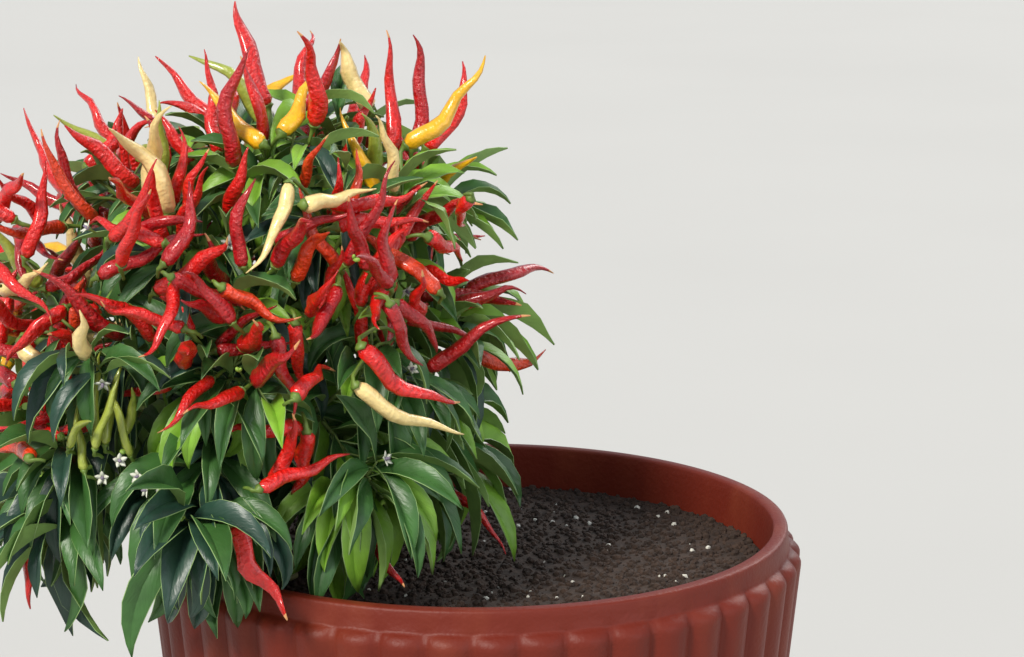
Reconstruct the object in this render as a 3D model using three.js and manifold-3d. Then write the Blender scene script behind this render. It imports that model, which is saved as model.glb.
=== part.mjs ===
// An ornamental chilli pepper plant in a fluted terracotta pot, in millimetres with +Z up.
// The origin is the middle of the pot's flat underside. +X runs to the right and +Y away from the
// side that the plant is usually seen from, and the plant stands near the left of the pot.
import * as THREE from "three";
import { mergeVertices } from "three/addons/utils/BufferGeometryUtils.js";
import Module from "manifold-3d";

const { Vector3 } = THREE;
const UP = new Vector3(0, 0, 1);
const DOWN = new Vector3(0, 0, -1);
const GOLDEN_ANGLE = 137.5;

// Pot: the shoulder is the widest ring, where the flutes end under a plain collar.
const POT = {
  height: 300,
  footRadius: 152,
  shoulderRadius: 181,
  shoulderHeight: 282,
  collarRadius: 174,
  collarFoot: 288,
  wall: 9,
  base: 14,
  flutes: 46,
  fluteDepth: 4.5,
  fluteFoot: 8,
  drains: 3,
  drainRadius: 8,
  drainCircle: 55,
};
const SOIL_TOP = 276;
const GAP = 0.3;
const ROOM = { pot: 3, leaf: 3.2, limb: 0.8, stem: 0.6, twig: 1.2 };
const SLIVER = 0.03;
const NUDGE = { tries: 30, size: 0.1 };

// Stem and crown. Low down the crown reaches to the left of the stem, and it leans to the right
// as it rises.
const FOOT = new Vector3(-106, -34, SOIL_TOP + GAP);
const FORK = new Vector3(-114, -37, 318);
const CROWN = new Vector3(-126, -38, 401);
const LEAN = 0.22;
const STEM_RADII = [9, 6.4, 5.8, 5.2];
const SEED = 77;

// Limbs, given by azimuth and elevation in degrees and distance from the crown's centre.
const LEADER = { elevation: 88, distance: 56, radii: [3, 2.1] };
const PRIMARY = { count: 4, firstAzimuth: -67.5, elevation: -46, distance: 46, radii: [2.8, 2.3] };
const LATERAL = { turn: 22.5, elevation: -18, distance: 68, radii: [1.9, 1.6] };
const RISER = { turn: 20, elevation: 50, distance: 58, radii: [1.9, 1.6] };

// Shoots by tier. A shoot's heart is the middle of the space that its foliage keeps to. Lift and
// spread share a fruit's direction between straight up and away from the crown's middle, and rise
// is how far its leaves point upwards before they droop.
const TIERS = {
  top: { elevation: 74, heart: 104, fruit: 4, lift: 1, spread: 0.4, leaf: 58, rise: -0.45, droop: 1 },
  upper: { elevation: 44, heart: 102, fruit: 3, lift: 0.8, spread: 0.7, leaf: 62, rise: -0.2, droop: 1.2 },
  middle: { elevation: 12, heart: 97, fruit: 4, lift: 0.3, spread: 0.7, leaf: 64, rise: 0.1, droop: 1.4 },
  lower: { elevation: -30, heart: 104, fruit: 1, lift: -0.6, spread: 0.6, leaf: 72, rise: 0, droop: 1.3 },
};
const SHOOT = { radius: 1.3, tipRadius: 0.8, past: 14, twigs: 3, twigLength: [22, 30] };
const LEAVES = { onStem: 7, onTwig: 4, widthShare: 0.27, thickness: 0.012, fold: 0.22, tries: 12 };
const FRUIT = { length: [44, 68], radius: [4.4, 5.6], turn: [0.2, 1.2], stalk: 10, stalkRadius: 1.1 };

// Fruits that stand out at the crown's top and front, each from its shoulder to its tip.
const STANDOUTS = [
  [[-108, -51, 537], [-127, -38, 591]],
  [[-107, -86, 522], [-138, -65, 553]],
  [[-99, -82, 527], [-83, -60, 558]],
  [[-134, -59, 513], [-140, -38, 566]],
  [[-92, -44, 535], [-71, -38, 572]],
  [[-55, -38, 534], [-70, -38, 571]],
  [[-43, -49, 514], [-43, -38, 576]],
  [[-33, -40, 513], [-30, -34, 573]],
  [[-36, -56, 517], [7, -44, 563]],
  [[-26, -38, 513], [-4, -30, 558]],
  [[-207, -73, 492], [-237, -38, 535]],
  [[-203, -60, 506], [-185, -47, 536]],
  [[-145, -68, 510], [-164, -58, 537]],
  [[-90, -145, 512], [-105, -172, 471]],
  [[-83, -153, 502], [-51, -129, 507]],
  [[-58, -160, 413], [-4, -134, 381]],
  [[-55, -160, 433], [-4, -135, 397]],
  [[-118, -168, 344], [-88, -181, 300]],
  [[-231, -116, 426], [-196, -142, 410]],
  [[-243, -98, 448], [-215, -120, 467]],
].map((ends) => ends.map((place) => new Vector3(...place)));

const COLOURS = {
  terracotta: [0x7d3a2c, 0.6],
  soil: [0x35271d, 1],
  bark: [0x6f7a3e, 0.75],
  foliage: [0x2f5a2a, 0.5],
};

const wasm = await Module();
wasm.setup();

// A closed, indexed, position-only geometry as a solid, and back.
function solidOf(geometry) {
  return new wasm.Manifold(
    new wasm.Mesh({
      numProp: 3,
      vertProperties: new Float32Array(geometry.attributes.position.array),
      triVerts: new Uint32Array(geometry.index.array),
    }),
  );
}

function geometryOf(solid) {
  const mesh = solid.getMesh();
  return new THREE.BufferGeometry()
    .setAttribute("position", new THREE.BufferAttribute(mesh.vertProperties, 3))
    .setIndex(new THREE.BufferAttribute(mesh.triVerts, 1));
}

// Whether all of a solid's corners stay apart when they are rounded to a micron and finer.
const hasClearCorners = (solid) =>
  [1e-3, 1e-4].every(
    (grid) => mergeVertices(geometryOf(solid), grid).attributes.position.count === solid.numVert(),
  );

// The height of a solid's thinnest face.
function thinnestFace(solid) {
  const flat = geometryOf(solid).toNonIndexed().attributes.position;
  const face = new THREE.Triangle();
  let least = Infinity;
  for (let i = 0; i < flat.count; i += 3) {
    face.setFromAttributeAndIndices(flat, i, i + 1, i + 2);
    const longest = Math.max(
      face.a.distanceTo(face.b),
      face.b.distanceTo(face.c),
      face.c.distanceTo(face.a),
    );
    least = Math.min(least, (2 * face.getArea()) / longest);
  }
  return least;
}

// The skins as one body less its guards, without loose scraps and sealed hollows. Each try nudges
// the skins by up to a tenth of a millimetre, until no face is a sliver.
function fused(skins, guards) {
  const cut = wasm.Manifold.union(guards.map(limbGuard));
  let best = null;
  let most = -1;
  for (let nudge = 0; nudge < NUDGE.tries && most < SLIVER / 10; nudge++) {
    const solids = skins.map((rings, i) => {
      const shift = [0, 1, 2].map((axis) => swing(nudge && NUDGE.size, nudge, i, axis));
      return solidOf(loft(rings)).translate(shift);
    });
    const bodies = wasm.Manifold.union(solids).subtract(cut).simplify(SLIVER).decompose();
    const body = bodies.reduce((a, b) => (b.volume() > a.volume() ? b : a));
    const thinnest = hasClearCorners(body) ? thinnestFace(body) : 0;
    if (thinnest > most) [best, most] = [body, thinnest];
  }
  return best;
}

// The seeded rule: a number from 0 to 1 that depends only on the whole numbers it is given.
function chance(...keys) {
  let hash = SEED;
  for (const key of keys) {
    hash = Math.imul(hash ^ (key + 1), 0x9e3779b1);
    hash ^= hash >>> 15;
    hash = Math.imul(hash, 0x85ebca77);
    hash ^= hash >>> 13;
  }
  return (hash >>> 0) / 4294967296;
}

const between = ([low, high], ...keys) => low + (high - low) * chance(...keys);
const swing = (size, ...keys) => size * (2 * chance(...keys) - 1);

function towards(azimuth, elevation) {
  const a = THREE.MathUtils.degToRad(azimuth);
  const e = THREE.MathUtils.degToRad(elevation);
  return new Vector3(Math.cos(e) * Math.cos(a), Math.cos(e) * Math.sin(a), Math.sin(e));
}

// A place in the crown, which leans to the right as it rises.
function fromCrown(azimuth, elevation, distance) {
  const place = CROWN.clone().addScaledVector(towards(azimuth, elevation), distance);
  place.x += LEAN * (place.z - CROWN.z);
  return place;
}

// The part of `vector` square to `axis`, as a unit vector, with a stand-in where they line up.
function squareTo(axis, vector) {
  const square = vector.clone().addScaledVector(axis, -vector.dot(axis));
  if (square.lengthSq() < 1e-6) square.set(axis.y, axis.z, axis.x).cross(axis);
  return square.normalize();
}

// A curve that starts along `heading` and turns towards `pull` by `turn` radians.
function arc(start, heading, pull, turn, length) {
  const side = squareTo(heading, pull);
  return (share) => {
    const angle = turn * share;
    const ahead = (length / turn) * Math.sin(angle);
    const aside = (length / turn) * (1 - Math.cos(angle));
    return {
      at: start.clone().addScaledVector(heading, ahead).addScaledVector(side, aside),
      heading: heading
        .clone()
        .multiplyScalar(Math.cos(angle))
        .addScaledVector(side, Math.sin(angle)),
    };
  };
}

// The same kind of curve between two given ends.
function arcBetween(from, to, pull, turn) {
  const chord = to.clone().sub(from);
  const side = squareTo(chord.clone().normalize(), pull);
  const heading = chord
    .clone()
    .normalize()
    .multiplyScalar(Math.cos(turn / 2))
    .addScaledVector(side, -Math.sin(turn / 2));
  return arc(from, heading, side, turn, (chord.length() * turn) / (2 * Math.sin(turn / 2)));
}

// A closed skin over rings of points, each ring anticlockwise about the way the loft runs.
function loft(rings) {
  const starts = [];
  const positions = [];
  for (const ring of rings) {
    starts.push(positions.length / 3);
    for (const point of ring) positions.push(point.x, point.y, point.z);
  }
  const index = [];
  for (let r = 0; r + 1 < rings.length; r++) {
    const sides = Math.max(rings[r].length, rings[r + 1].length);
    for (let i = 0; i < sides; i++) {
      const next = (i + 1) % sides;
      const a = starts[r];
      const b = starts[r + 1];
      if (rings[r].length === 1) index.push(a, b + next, b + i);
      else if (rings[r + 1].length === 1) index.push(a + i, a + next, b);
      else index.push(a + i, a + next, b + next, a + i, b + next, b + i);
    }
  }
  const last = starts.length - 1;
  for (let i = 1; i + 1 < rings[0].length; i++) index.push(0, i + 1, i);
  for (let i = 1; i + 1 < rings[last].length; i++) {
    index.push(starts[last], starts[last] + i, starts[last] + i + 1);
  }
  return new THREE.BufferGeometry()
    .setAttribute("position", new THREE.Float32BufferAttribute(positions, 3))
    .setIndex(index);
}

// Round rings along points, each square to the way its neighbours run.
function tubeRings(points, radii, sides, firstHeading) {
  let across = null;
  return points.map((point, i) => {
    const before = points[Math.max(i - 1, 0)];
    const after = points[Math.min(i + 1, points.length - 1)];
    const heading = i === 0 && firstHeading ? firstHeading : after.clone().sub(before).normalize();
    across = squareTo(heading, across ?? new Vector3(0.31, 0.87, 0.39));
    const up = heading.clone().cross(across);
    return Array.from({ length: sides }, (_, k) => {
      const angle = (k / sides) * Math.PI * 2;
      return point
        .clone()
        .addScaledVector(across, radii[i] * Math.cos(angle))
        .addScaledVector(up, radii[i] * Math.sin(angle));
    });
  });
}

// A tapering limb along a quadratic curve that leaves `start` along `heading`.
function limb(start, heading, end, radii, sides = 5, segments = 3) {
  const middle = start.clone().addScaledVector(heading, start.distanceTo(end) * 0.5);
  const curve = new THREE.QuadraticBezierCurve3(start, middle, end);
  const points = curve.getPoints(segments);
  const sizes = points.map((_, i) => radii[0] + ((radii[1] - radii[0]) * i) / segments);
  return { curve, points, sizes, sides, tip: end, tipHeading: curve.getTangent(1) };
}

const limbRings = (l) => tubeRings(l.points, l.sizes, l.sides, l.firstHeading);

// The limb grown by the gap all round and at its tip, to cut what starts from it clear.
function limbGuard(l) {
  const points = l.points.map((p) => p.clone());
  points[points.length - 1].addScaledVector(l.tipHeading, GAP);
  points[0].addScaledVector(points[1].clone().sub(points[0]).normalize(), -GAP);
  return solidOf(loft(tubeRings(points, l.sizes.map((r) => r + GAP), l.sides)));
}

// Stem, leader, primaries, laterals and risers, each with the parent that it is cut clear of.
function growLimbs() {
  const stem = limb(FOOT, UP, FORK, [STEM_RADII[0], STEM_RADII[3]], 10, 3);
  Object.assign(stem, { name: "main_stem", sizes: STEM_RADII, firstHeading: UP });
  const limbs = [stem];
  const add = (name, parent, elders, heading, end, radii) => {
    const grown = limb(parent.tip, heading, end, radii);
    limbs.push(Object.assign(grown, { name, clearOf: [parent, ...elders] }));
    return grown;
  };
  const leaderTip = fromCrown(0, LEADER.elevation, LEADER.distance);
  const leader = add("leader_bough", stem, [], UP, leaderTip, LEADER.radii);
  const forks = [leader];
  const laterals = [];
  const risers = [];
  for (let p = 0; p < PRIMARY.count; p++) {
    const azimuth = PRIMARY.firstAzimuth + (360 / PRIMARY.count) * p;
    const tip = fromCrown(azimuth, PRIMARY.elevation, PRIMARY.distance);
    const out = towards(azimuth, 25);
    const primary = add(`primary_bough_${p + 1}`, stem, [...forks], out, tip, PRIMARY.radii);
    forks.push(primary);
    const riserTip = fromCrown(azimuth + RISER.turn, RISER.elevation, RISER.distance);
    const riser = add(`rising_bough_${p + 1}`, primary, [], towards(azimuth, 60), riserTip, RISER.radii);
    risers.push({ ...riser, azimuth: azimuth + RISER.turn });
    const young = [riser];
    for (const side of [-1, 1]) {
      const turned = azimuth + side * LATERAL.turn;
      const lateralTip = fromCrown(turned, LATERAL.elevation, LATERAL.distance);
      const away = towards(azimuth + side * 50, 12);
      const name = `side_bough_${laterals.length + 1}`;
      const lateral = add(name, primary, [...young], away, lateralTip, LATERAL.radii);
      young.push(lateral);
      laterals.push({ ...lateral, azimuth: turned });
    }
  }
  return { limbs, leader, laterals, risers };
}

// One shoot: its stem runs from the bough's tip past the heart of its own space.
function shoot(name, tier, bough, azimuth, index) {
  const { elevation, heart } = TIERS[tier];
  const turned = azimuth + swing(5, index, 1);
  const tilted = elevation + swing(4, index, 2);
  const middle = fromCrown(turned, tilted, heart * (1 + swing(0.05, index, 3)));
  const end = middle.clone().addScaledVector(towards(turned, tilted), SHOOT.past);
  const way = middle.clone().sub(bough.tip).normalize();
  const heading = way.add(bough.tipHeading).normalize();
  const stem = limb(bough.tip, heading, end, [SHOOT.radius, SHOOT.tipRadius], 3, 3);
  return { name, tier, index, bough, stem, heart: middle, out: towards(turned, tilted) };
}

function placeShoots({ leader, laterals, risers }) {
  const shoots = [];
  const add = (tier, number, bough, azimuth) =>
    shoots.push(shoot(`foliage_${tier}_${number}`, tier, bough, azimuth, shoots.length));
  for (let i = 0; i < 3; i++) add("top", i + 1, leader, -90 + 120 * i);
  risers.forEach((riser, i) => {
    for (const side of [0, 1]) add("upper", 2 * i + side + 1, riser, riser.azimuth + 45 * side - 22.5);
  });
  laterals.forEach((side, i) => add("middle", i + 1, side, side.azimuth));
  laterals.forEach((side, i) => add("lower", i + 1, side, side.azimuth));
  return shoots;
}

// Whether a point keeps to its shoot's own space, which ends half way to every other shoot.
function inOwnSpace(point, room, own, shoots) {
  return shoots.every((other) => {
    if (other === own) return true;
    const apart = other.heart.clone().sub(own.heart);
    const half = own.heart.clone().addScaledVector(apart, 0.5);
    return point.clone().sub(half).dot(apart) / apart.length() < -GAP - room;
  });
}

function distanceToLine(point, points) {
  const segment = new THREE.Line3();
  const nearest = new Vector3();
  let least = Infinity;
  for (let i = 0; i + 1 < points.length; i++) {
    segment.set(points[i], points[i + 1]).closestPointToPoint(point, true, nearest);
    least = Math.min(least, nearest.distanceTo(point));
  }
  return least;
}

const clearOfLimb = (point, l, room) => distanceToLine(point, l.points) > l.sizes[0] + room;

function clearOfPot(point, room) {
  const radius = Math.hypot(point.x, point.y);
  const rise = (point.z - POT.fluteFoot) / (POT.shoulderHeight - POT.fluteFoot);
  const spread = Math.min(Math.max(rise, 0), 1);
  const wall = POT.footRadius + (POT.shoulderRadius - POT.footRadius) * spread;
  if (radius > wall + room || point.z > POT.height + room) return true;
  return radius < POT.collarRadius - POT.wall - room && point.z > SOIL_TOP + room;
}

// Whether points have room all round: in their own space, off the limbs and the pot, and away
// from the shoot's own stem and twigs and from what is kept already.
function haveRoom(points, room, own, growth) {
  return points.every(
    (point) =>
      clearOfPot(point, room + ROOM.pot) &&
      inOwnSpace(point, room, own, growth.shoots) &&
      growth.taken.every((other) => other.distanceTo(point) > room / 3 + ROOM.leaf) &&
      growth.barred.every((l) => clearOfLimb(point, l, room + ROOM.limb)) &&
      growth.axes.every((l) => clearOfLimb(point, l, room + ROOM.twig)) &&
      growth.shoots.every((s) => s === own || clearOfLimb(point, s.stem, room + ROOM.stem)),
  );
}

// A leaf of eight faces: a kite with a raised rib, bent down along its length.
function leaf(curve, length, roll, out) {
  const { at, heading } = curve(0.45);
  const face = squareTo(heading, UP.clone().addScaledVector(out, 0.8)).applyAxisAngle(heading, roll);
  const side = face.clone().cross(heading);
  const half = (length * LEAVES.widthShare) / 2;
  const edge = (sign) =>
    at
      .clone()
      .addScaledVector(side, sign * half)
      .addScaledVector(face, half * LEAVES.fold * 2);
  const rib = (sign) => at.clone().addScaledVector(face, sign * length * LEAVES.thickness);
  return [[curve(0).at], [edge(1), rib(1), edge(-1), rib(-1)], [curve(1).at]];
}

// Points over a leaf's blade, to test its room.
function bladePoints(rings) {
  const [[root], [left, top, right], [tip]] = rings;
  const along = [0.3, 0.55, 0.8, 1];
  const inner = along.flatMap((s) => [left, top, right].map((p) => root.clone().lerp(p, s)));
  return [...inner, ...along.flatMap((s) => [left, top, right].map((p) => p.clone().lerp(tip, s)))];
}

// A fruit's rings from its shoulder to its pointed tip.
const FRUIT_PROFILE = [
  [0, 0.75],
  [0.16, 1],
  [0.62, 0.66],
];
const FRUIT_SIDES = 4;
function fruit(curve, radius, joint) {
  const places = [...FRUIT_PROFILE.map(([share]) => share), 1].map((share) => curve(share).at);
  const sizes = [...FRUIT_PROFILE.map(([, size]) => size * radius), 0];
  const rings = tubeRings(places, sizes, FRUIT_SIDES);
  const stalk = tubeRings([joint, places[0]], [FRUIT.stalkRadius, FRUIT.stalkRadius], FRUIT_SIDES);
  return [stalk[0], ...rings.slice(0, -1), [places.at(-1)]];
}

const corePoints = (curve) => [0, 0.25, 0.5, 0.75, 1].map((share) => curve(share).at);

function twigs(own) {
  const { index, stem } = own;
  return Array.from({ length: SHOOT.twigs }, (_, t) => {
    const start = stem.curve.getPoint(0.5 + 0.18 * t);
    const heading = stem.curve.getTangent(0.5 + 0.18 * t);
    const side = squareTo(heading, UP).applyAxisAngle(
      heading,
      THREE.MathUtils.degToRad(GOLDEN_ANGLE * (t + index)),
    );
    const way = heading.clone().multiplyScalar(0.8).add(side).normalize();
    const end = start.clone().addScaledVector(way, between(SHOOT.twigLength, index, 10, t));
    return limb(start, way, end, [1, 0.7], 3, 1);
  });
}

// Leaves along one stem or twig, each turned by the golden angle from the last.
function leavesAlong(axis, count, own, number, keep) {
  const { leaf: size, rise, droop } = TIERS[own.tier];
  const made = [];
  for (let j = 0; j < count; j++) {
    const share = 0.12 + (0.86 * (j + 0.5)) / count;
    const start = axis.curve.getPoint(share);
    const heading = axis.curve.getTangent(share);
    for (let attempt = 0; attempt < LEAVES.tries; attempt++) {
      const keys = [own.index, 20 + number, j, attempt];
      const stray = swing(12 * (attempt + 1), ...keys, 1);
      const turn = THREE.MathUtils.degToRad(GOLDEN_ANGLE * (j + number) + stray);
      const side = squareTo(heading, UP).applyAxisAngle(heading, turn);
      const way = side
        .addScaledVector(heading, 0.25)
        .addScaledVector(own.out, 0.3 + 0.4 * share)
        .addScaledVector(UP, rise)
        .normalize();
      const length = size * (1 + swing(0.18, ...keys, 2));
      const curve = arc(start, way, DOWN, droop * (0.55 + 0.6 * chance(...keys, 3)), length);
      const rings = leaf(curve, length, swing(0.5, ...keys, 4), own.out);
      if (keep(bladePoints(rings), 0)) {
        made.push(rings);
        break;
      }
    }
  }
  return made;
}

const nearestOn = (axes, point) =>
  axes
    .map((axis) => {
      const line = new THREE.Line3(axis.points.at(-2), axis.points.at(-1));
      return line.closestPointToPoint(point, true, new Vector3());
    })
    .reduce((a, b) => (b.distanceTo(point) < a.distanceTo(point) ? b : a));

// Each fruit that stands out grows from the shoot that passes nearest to its shoulder.
function placeStandouts(shoots) {
  return STANDOUTS.map(([from, to], j) => {
    const joints = shoots.map((s) => nearestOn([s.stem], from));
    const gaps = joints.map((joint) => joint.distanceTo(from));
    const owner = gaps.indexOf(Math.min(...gaps));
    const curve = arcBetween(from, to, UP, between(FRUIT.turn, 900, j, 1));
    const radius = between(FRUIT.radius, 900, j, 2);
    const rings = fruit(curve, radius, joints[owner]);
    const points = [joints[owner], ...corePoints(curve)];
    return { owner: shoots[owner], rings, points, sizes: [radius] };
  });
}

function fruits(own, ends, keep) {
  const { fruit: count, lift, spread } = TIERS[own.tier];
  const made = [];
  for (let j = 0; j < count; j++) {
    const end = ends[j % ends.length];
    for (let attempt = 0; attempt < LEAVES.tries; attempt++) {
      const keys = [own.index, 40, j, attempt];
      const stray = new Vector3(swing(1, ...keys, 1), swing(1, ...keys, 2), swing(0.8, ...keys, 3));
      const way = stray
        .multiplyScalar(0.62)
        .addScaledVector(UP, lift)
        .addScaledVector(own.out, spread)
        .normalize();
      const root = end.clone().addScaledVector(way, FRUIT.stalk);
      const pull = new Vector3(swing(1, ...keys, 4), swing(1, ...keys, 5), swing(1, ...keys, 6));
      const length = between(FRUIT.length, ...keys, 7);
      const radius = between(FRUIT.radius, ...keys, 8);
      const curve = arc(root, way, pull, between(FRUIT.turn, ...keys, 9), length);
      if (keep(corePoints(curve), radius)) {
        made.push(fruit(curve, radius, end));
        break;
      }
    }
  }
  return made;
}

// One mass: stem, twigs, leaves and fruit fused, then cut clear of its bough and its elders.
function foliage(own, shoots, limbs, standouts) {
  const growth = { shoots, barred: [...limbs, ...standouts], axes: [own.stem], taken: [] };
  const keep = (points, room) => {
    const kept = haveRoom(points, room, own, growth);
    if (kept) growth.taken.push(...points);
    return kept;
  };
  const fresh = twigs(own).filter((twig) => keep([1, 2, 3].map((i) => twig.curve.getPoint(i / 3)), 0));
  const axes = [own.stem, ...fresh];
  growth.axes = axes;
  const skins = axes.map((axis) => tubeRings(axis.points, axis.sizes, axis.sides));
  skins.push(...standouts.filter((fruit) => fruit.owner === own).map((fruit) => fruit.rings));
  axes.forEach((axis, number) => {
    const count = number === 0 ? LEAVES.onStem : LEAVES.onTwig;
    skins.push(...leavesAlong(axis, count, own, number, keep));
  });
  skins.push(...fruits(own, axes.map((axis) => axis.points.at(-1)), keep));
  const elders = shoots.filter((s) => s.bough === own.bough && s.index < own.index);
  return fused(skins, [own.bough, ...elders.map((s) => s.stem)]);
}

// A turned solid from a profile of radius and height, in millimetres.
function turnedSolid(profile, columns, shape) {
  const points = profile.map(([radius, z]) => new THREE.Vector2(radius, z));
  const turned = new THREE.LatheGeometry(points, columns);
  turned.deleteAttribute("uv");
  turned.deleteAttribute("normal");
  if (shape) shape(turned.attributes.position);
  turned.rotateX(Math.PI / 2);
  return solidOf(mergeVertices(turned, 1e-3));
}

// The pot's outside, drawn in between its flutes, less its plain inside and its drain holes.
function pot() {
  const { collarRadius, collarFoot, height, wall, base, footRadius, shoulderRadius } = POT;
  const outside = [
    [0, 0, 0],
    [footRadius, 0, 0],
    [footRadius + 1, POT.fluteFoot, 1],
    [shoulderRadius, POT.shoulderHeight, 1],
    [shoulderRadius - 1.5, POT.shoulderHeight + 3, 0.8],
    [collarRadius, collarFoot, 0],
    [collarRadius - 1, height, 0],
    [0, height, 0],
  ];
  const stepsPerFlute = 3;
  const body = turnedSolid(outside, POT.flutes * stepsPerFlute, (position) => {
    for (let i = 0; i < position.count; i++) {
      const [radius, , fluted] = outside[i % outside.length];
      const step = Math.floor(i / outside.length) % stepsPerFlute;
      const hollow = 1 - Math.sin((step / stepsPerFlute) * Math.PI);
      const share = radius ? 1 - (POT.fluteDepth * hollow * fluted) / radius : 1;
      position.setXYZ(i, position.getX(i) * share, position.getY(i), position.getZ(i) * share);
    }
  });
  const inside = turnedSolid(
    [
      [0, base],
      [innerRadius(base), base],
      [innerRadius(height + 1), height + 1],
      [0, height + 1],
    ],
    POT.flutes,
  );
  const drain = turnedSolid(
    [
      [0, -1],
      [POT.drainRadius, -1],
      [POT.drainRadius, base + 1],
      [0, base + 1],
    ],
    10,
  );
  const drains = Array.from({ length: POT.drains }, (_, i) => {
    const angle = (i / POT.drains) * Math.PI * 2;
    return drain.translate(
      POT.drainCircle * Math.cos(angle),
      POT.drainCircle * Math.sin(angle),
      0,
    );
  });
  return body.subtract(wasm.Manifold.union([inside, ...drains]));
}

// The radius of the pot's plain inside at a height.
function innerRadius(z) {
  const low = POT.footRadius - POT.fluteDepth - POT.wall;
  const high = POT.collarRadius - POT.wall;
  return low + ((high - low) * (z - POT.base)) / (POT.height - POT.base);
}

// Potting soil, from the pot's floor to a little under its rim.
function soil() {
  const bottom = POT.base + GAP;
  return turnedSolid(
    [
      [0, bottom],
      [innerRadius(bottom) - 2 * GAP, bottom],
      [innerRadius(SOIL_TOP) - 2 * GAP, SOIL_TOP],
      [0, SOIL_TOP],
    ],
    POT.flutes,
  );
}

const plant = new THREE.Group();

function addMesh(name, solid, look) {
  const [color, roughness] = COLOURS[look];
  const material = new THREE.MeshStandardMaterial({ color, roughness, metalness: 0 });
  const mesh = new THREE.Mesh(geometryOf(solid), material);
  mesh.name = name;
  plant.add(mesh);
}

const grown = growLimbs();
const shoots = placeShoots(grown);
const standouts = placeStandouts(shoots);
addMesh("pot", pot(), "terracotta");
addMesh("soil", soil(), "soil");
for (const l of grown.limbs) addMesh(l.name, fused([limbRings(l)], l.clearOf ?? []), "bark");
for (const own of shoots) addMesh(own.name, foliage(own, shoots, grown.limbs, standouts), "foliage");

export default plant;
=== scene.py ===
import math
from functools import lru_cache

import bpy
import numpy as np
from bpy.props import FloatProperty, FloatVectorProperty, IntProperty, PointerProperty
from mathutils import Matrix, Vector


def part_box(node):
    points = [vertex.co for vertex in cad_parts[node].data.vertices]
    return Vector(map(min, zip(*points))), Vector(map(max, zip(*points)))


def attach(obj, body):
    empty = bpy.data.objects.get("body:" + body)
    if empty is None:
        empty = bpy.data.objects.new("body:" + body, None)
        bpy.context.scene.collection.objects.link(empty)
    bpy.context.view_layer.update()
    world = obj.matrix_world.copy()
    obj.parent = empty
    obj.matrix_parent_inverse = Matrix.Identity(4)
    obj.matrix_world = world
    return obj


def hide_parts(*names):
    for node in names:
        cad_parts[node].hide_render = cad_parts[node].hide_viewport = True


bl_info = {
    "name": "Chilli Pepper Plant",
    "version": (1, 0, 0),
    "blender": (4, 5, 0),
    "location": "3D View > Sidebar > Chilli Plant",
    "description": "Builds a potted chilli pepper plant with its leaves, fruit, bark, pot and soil",
    "category": "Add Mesh",
}

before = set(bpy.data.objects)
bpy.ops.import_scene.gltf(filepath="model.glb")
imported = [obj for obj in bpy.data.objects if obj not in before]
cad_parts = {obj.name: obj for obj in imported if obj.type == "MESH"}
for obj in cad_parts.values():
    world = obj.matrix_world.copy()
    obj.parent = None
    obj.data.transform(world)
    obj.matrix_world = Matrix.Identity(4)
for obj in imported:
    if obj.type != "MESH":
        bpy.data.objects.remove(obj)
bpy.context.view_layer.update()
MM = 0.001

UP = np.array([0.0, 0.0, 1.0])
DOWN = -UP
GOLDEN_ANGLE = 137.5

# Pot and soil, as in the part's source.
POT_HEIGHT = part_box("pot")[1].z / MM
FOOT_RADIUS = 152
SHOULDER_RADIUS = 181
SHOULDER_HEIGHT = 282
COLLAR_RADIUS = 174
COLLAR_FOOT = 288
POT_WALL = 9
POT_BASE = 14
FLUTE_FOOT = 8
FLUTE_DEPTH = 4.5
DRAINS = {"count": 3, "radius": 8, "circle": 55}
SOIL_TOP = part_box("soil")[1].z / MM
GAP = 0.3
ROOM = {"pot": 3, "leaf": 3.2, "limb": 0.8, "stem": 0.6, "twig": 1.2}

# Stem and crown, as in the part's source.
FOOT = np.array([-106, -34, SOIL_TOP + GAP])
FORK = np.array([-114.0, -37, 318])
CROWN = np.array([-126.0, -38, 401])
LEAN = 0.22
STEM_RADII = [9, 6.4, 5.8, 5.2]
SEED = 77

# Boughs: where they end in the crown, and the turn and elevation at which they set off.
LEADER = {"elevation": 88, "distance": 56, "radii": (3, 2.1)}
PRIMARIES = {"count": 4, "first": -67.5}
PRIMARY = {"elevation": -46, "distance": 46, "radii": (2.8, 2.3), "rise": 25}
LATERAL = {"turn": 22.5, "leave": 50, "elevation": -18, "distance": 68, "radii": (1.9, 1.6), "rise": 12}
RISER = {"turn": 20, "elevation": 50, "distance": 58, "radii": (1.9, 1.6), "rise": 60}

# Shoots by tier, as in the part's source.
TIERS = {
    "top": dict(elevation=74, heart=104, fruit=4, lift=1, spread=0.4, leaf=58, rise=-0.45, droop=1),
    "upper": dict(elevation=44, heart=102, fruit=3, lift=0.8, spread=0.7, leaf=62, rise=-0.2, droop=1.2),
    "middle": dict(elevation=12, heart=97, fruit=4, lift=0.3, spread=0.7, leaf=64, rise=0.1, droop=1.4),
    "lower": dict(elevation=-30, heart=104, fruit=1, lift=-0.6, spread=0.6, leaf=72, rise=0, droop=1.3),
}
SHOOT = {"radius": 1.3, "tip": 0.8, "past": 14, "stray": (5, 4, 0.05)}
TWIGS = {"count": 3, "first": 0.5, "step": 0.18}
TWIG = {"lean": 0.8, "length": (22, 30), "radii": (1, 0.7)}
LEAVES = {"on_stem": 7, "on_twig": 4, "first": 0.12, "width": 0.27, "thickness": 0.012, "fold": 0.22}
# How far along its axis the last leaf may sit.
LAST_LEAF = 0.98
# How often a leaf or fruit is tried again, and how much further a leaf strays each time.
TRIES = {"mass": 12, "stray": 12, "fruit": 16, "jumble": 36}
FRUIT = {"length": (44, 68), "radius": (4.4, 5.6), "turn": (0.2, 1.2), "stalk": 10, "stray": 0.62}
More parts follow.
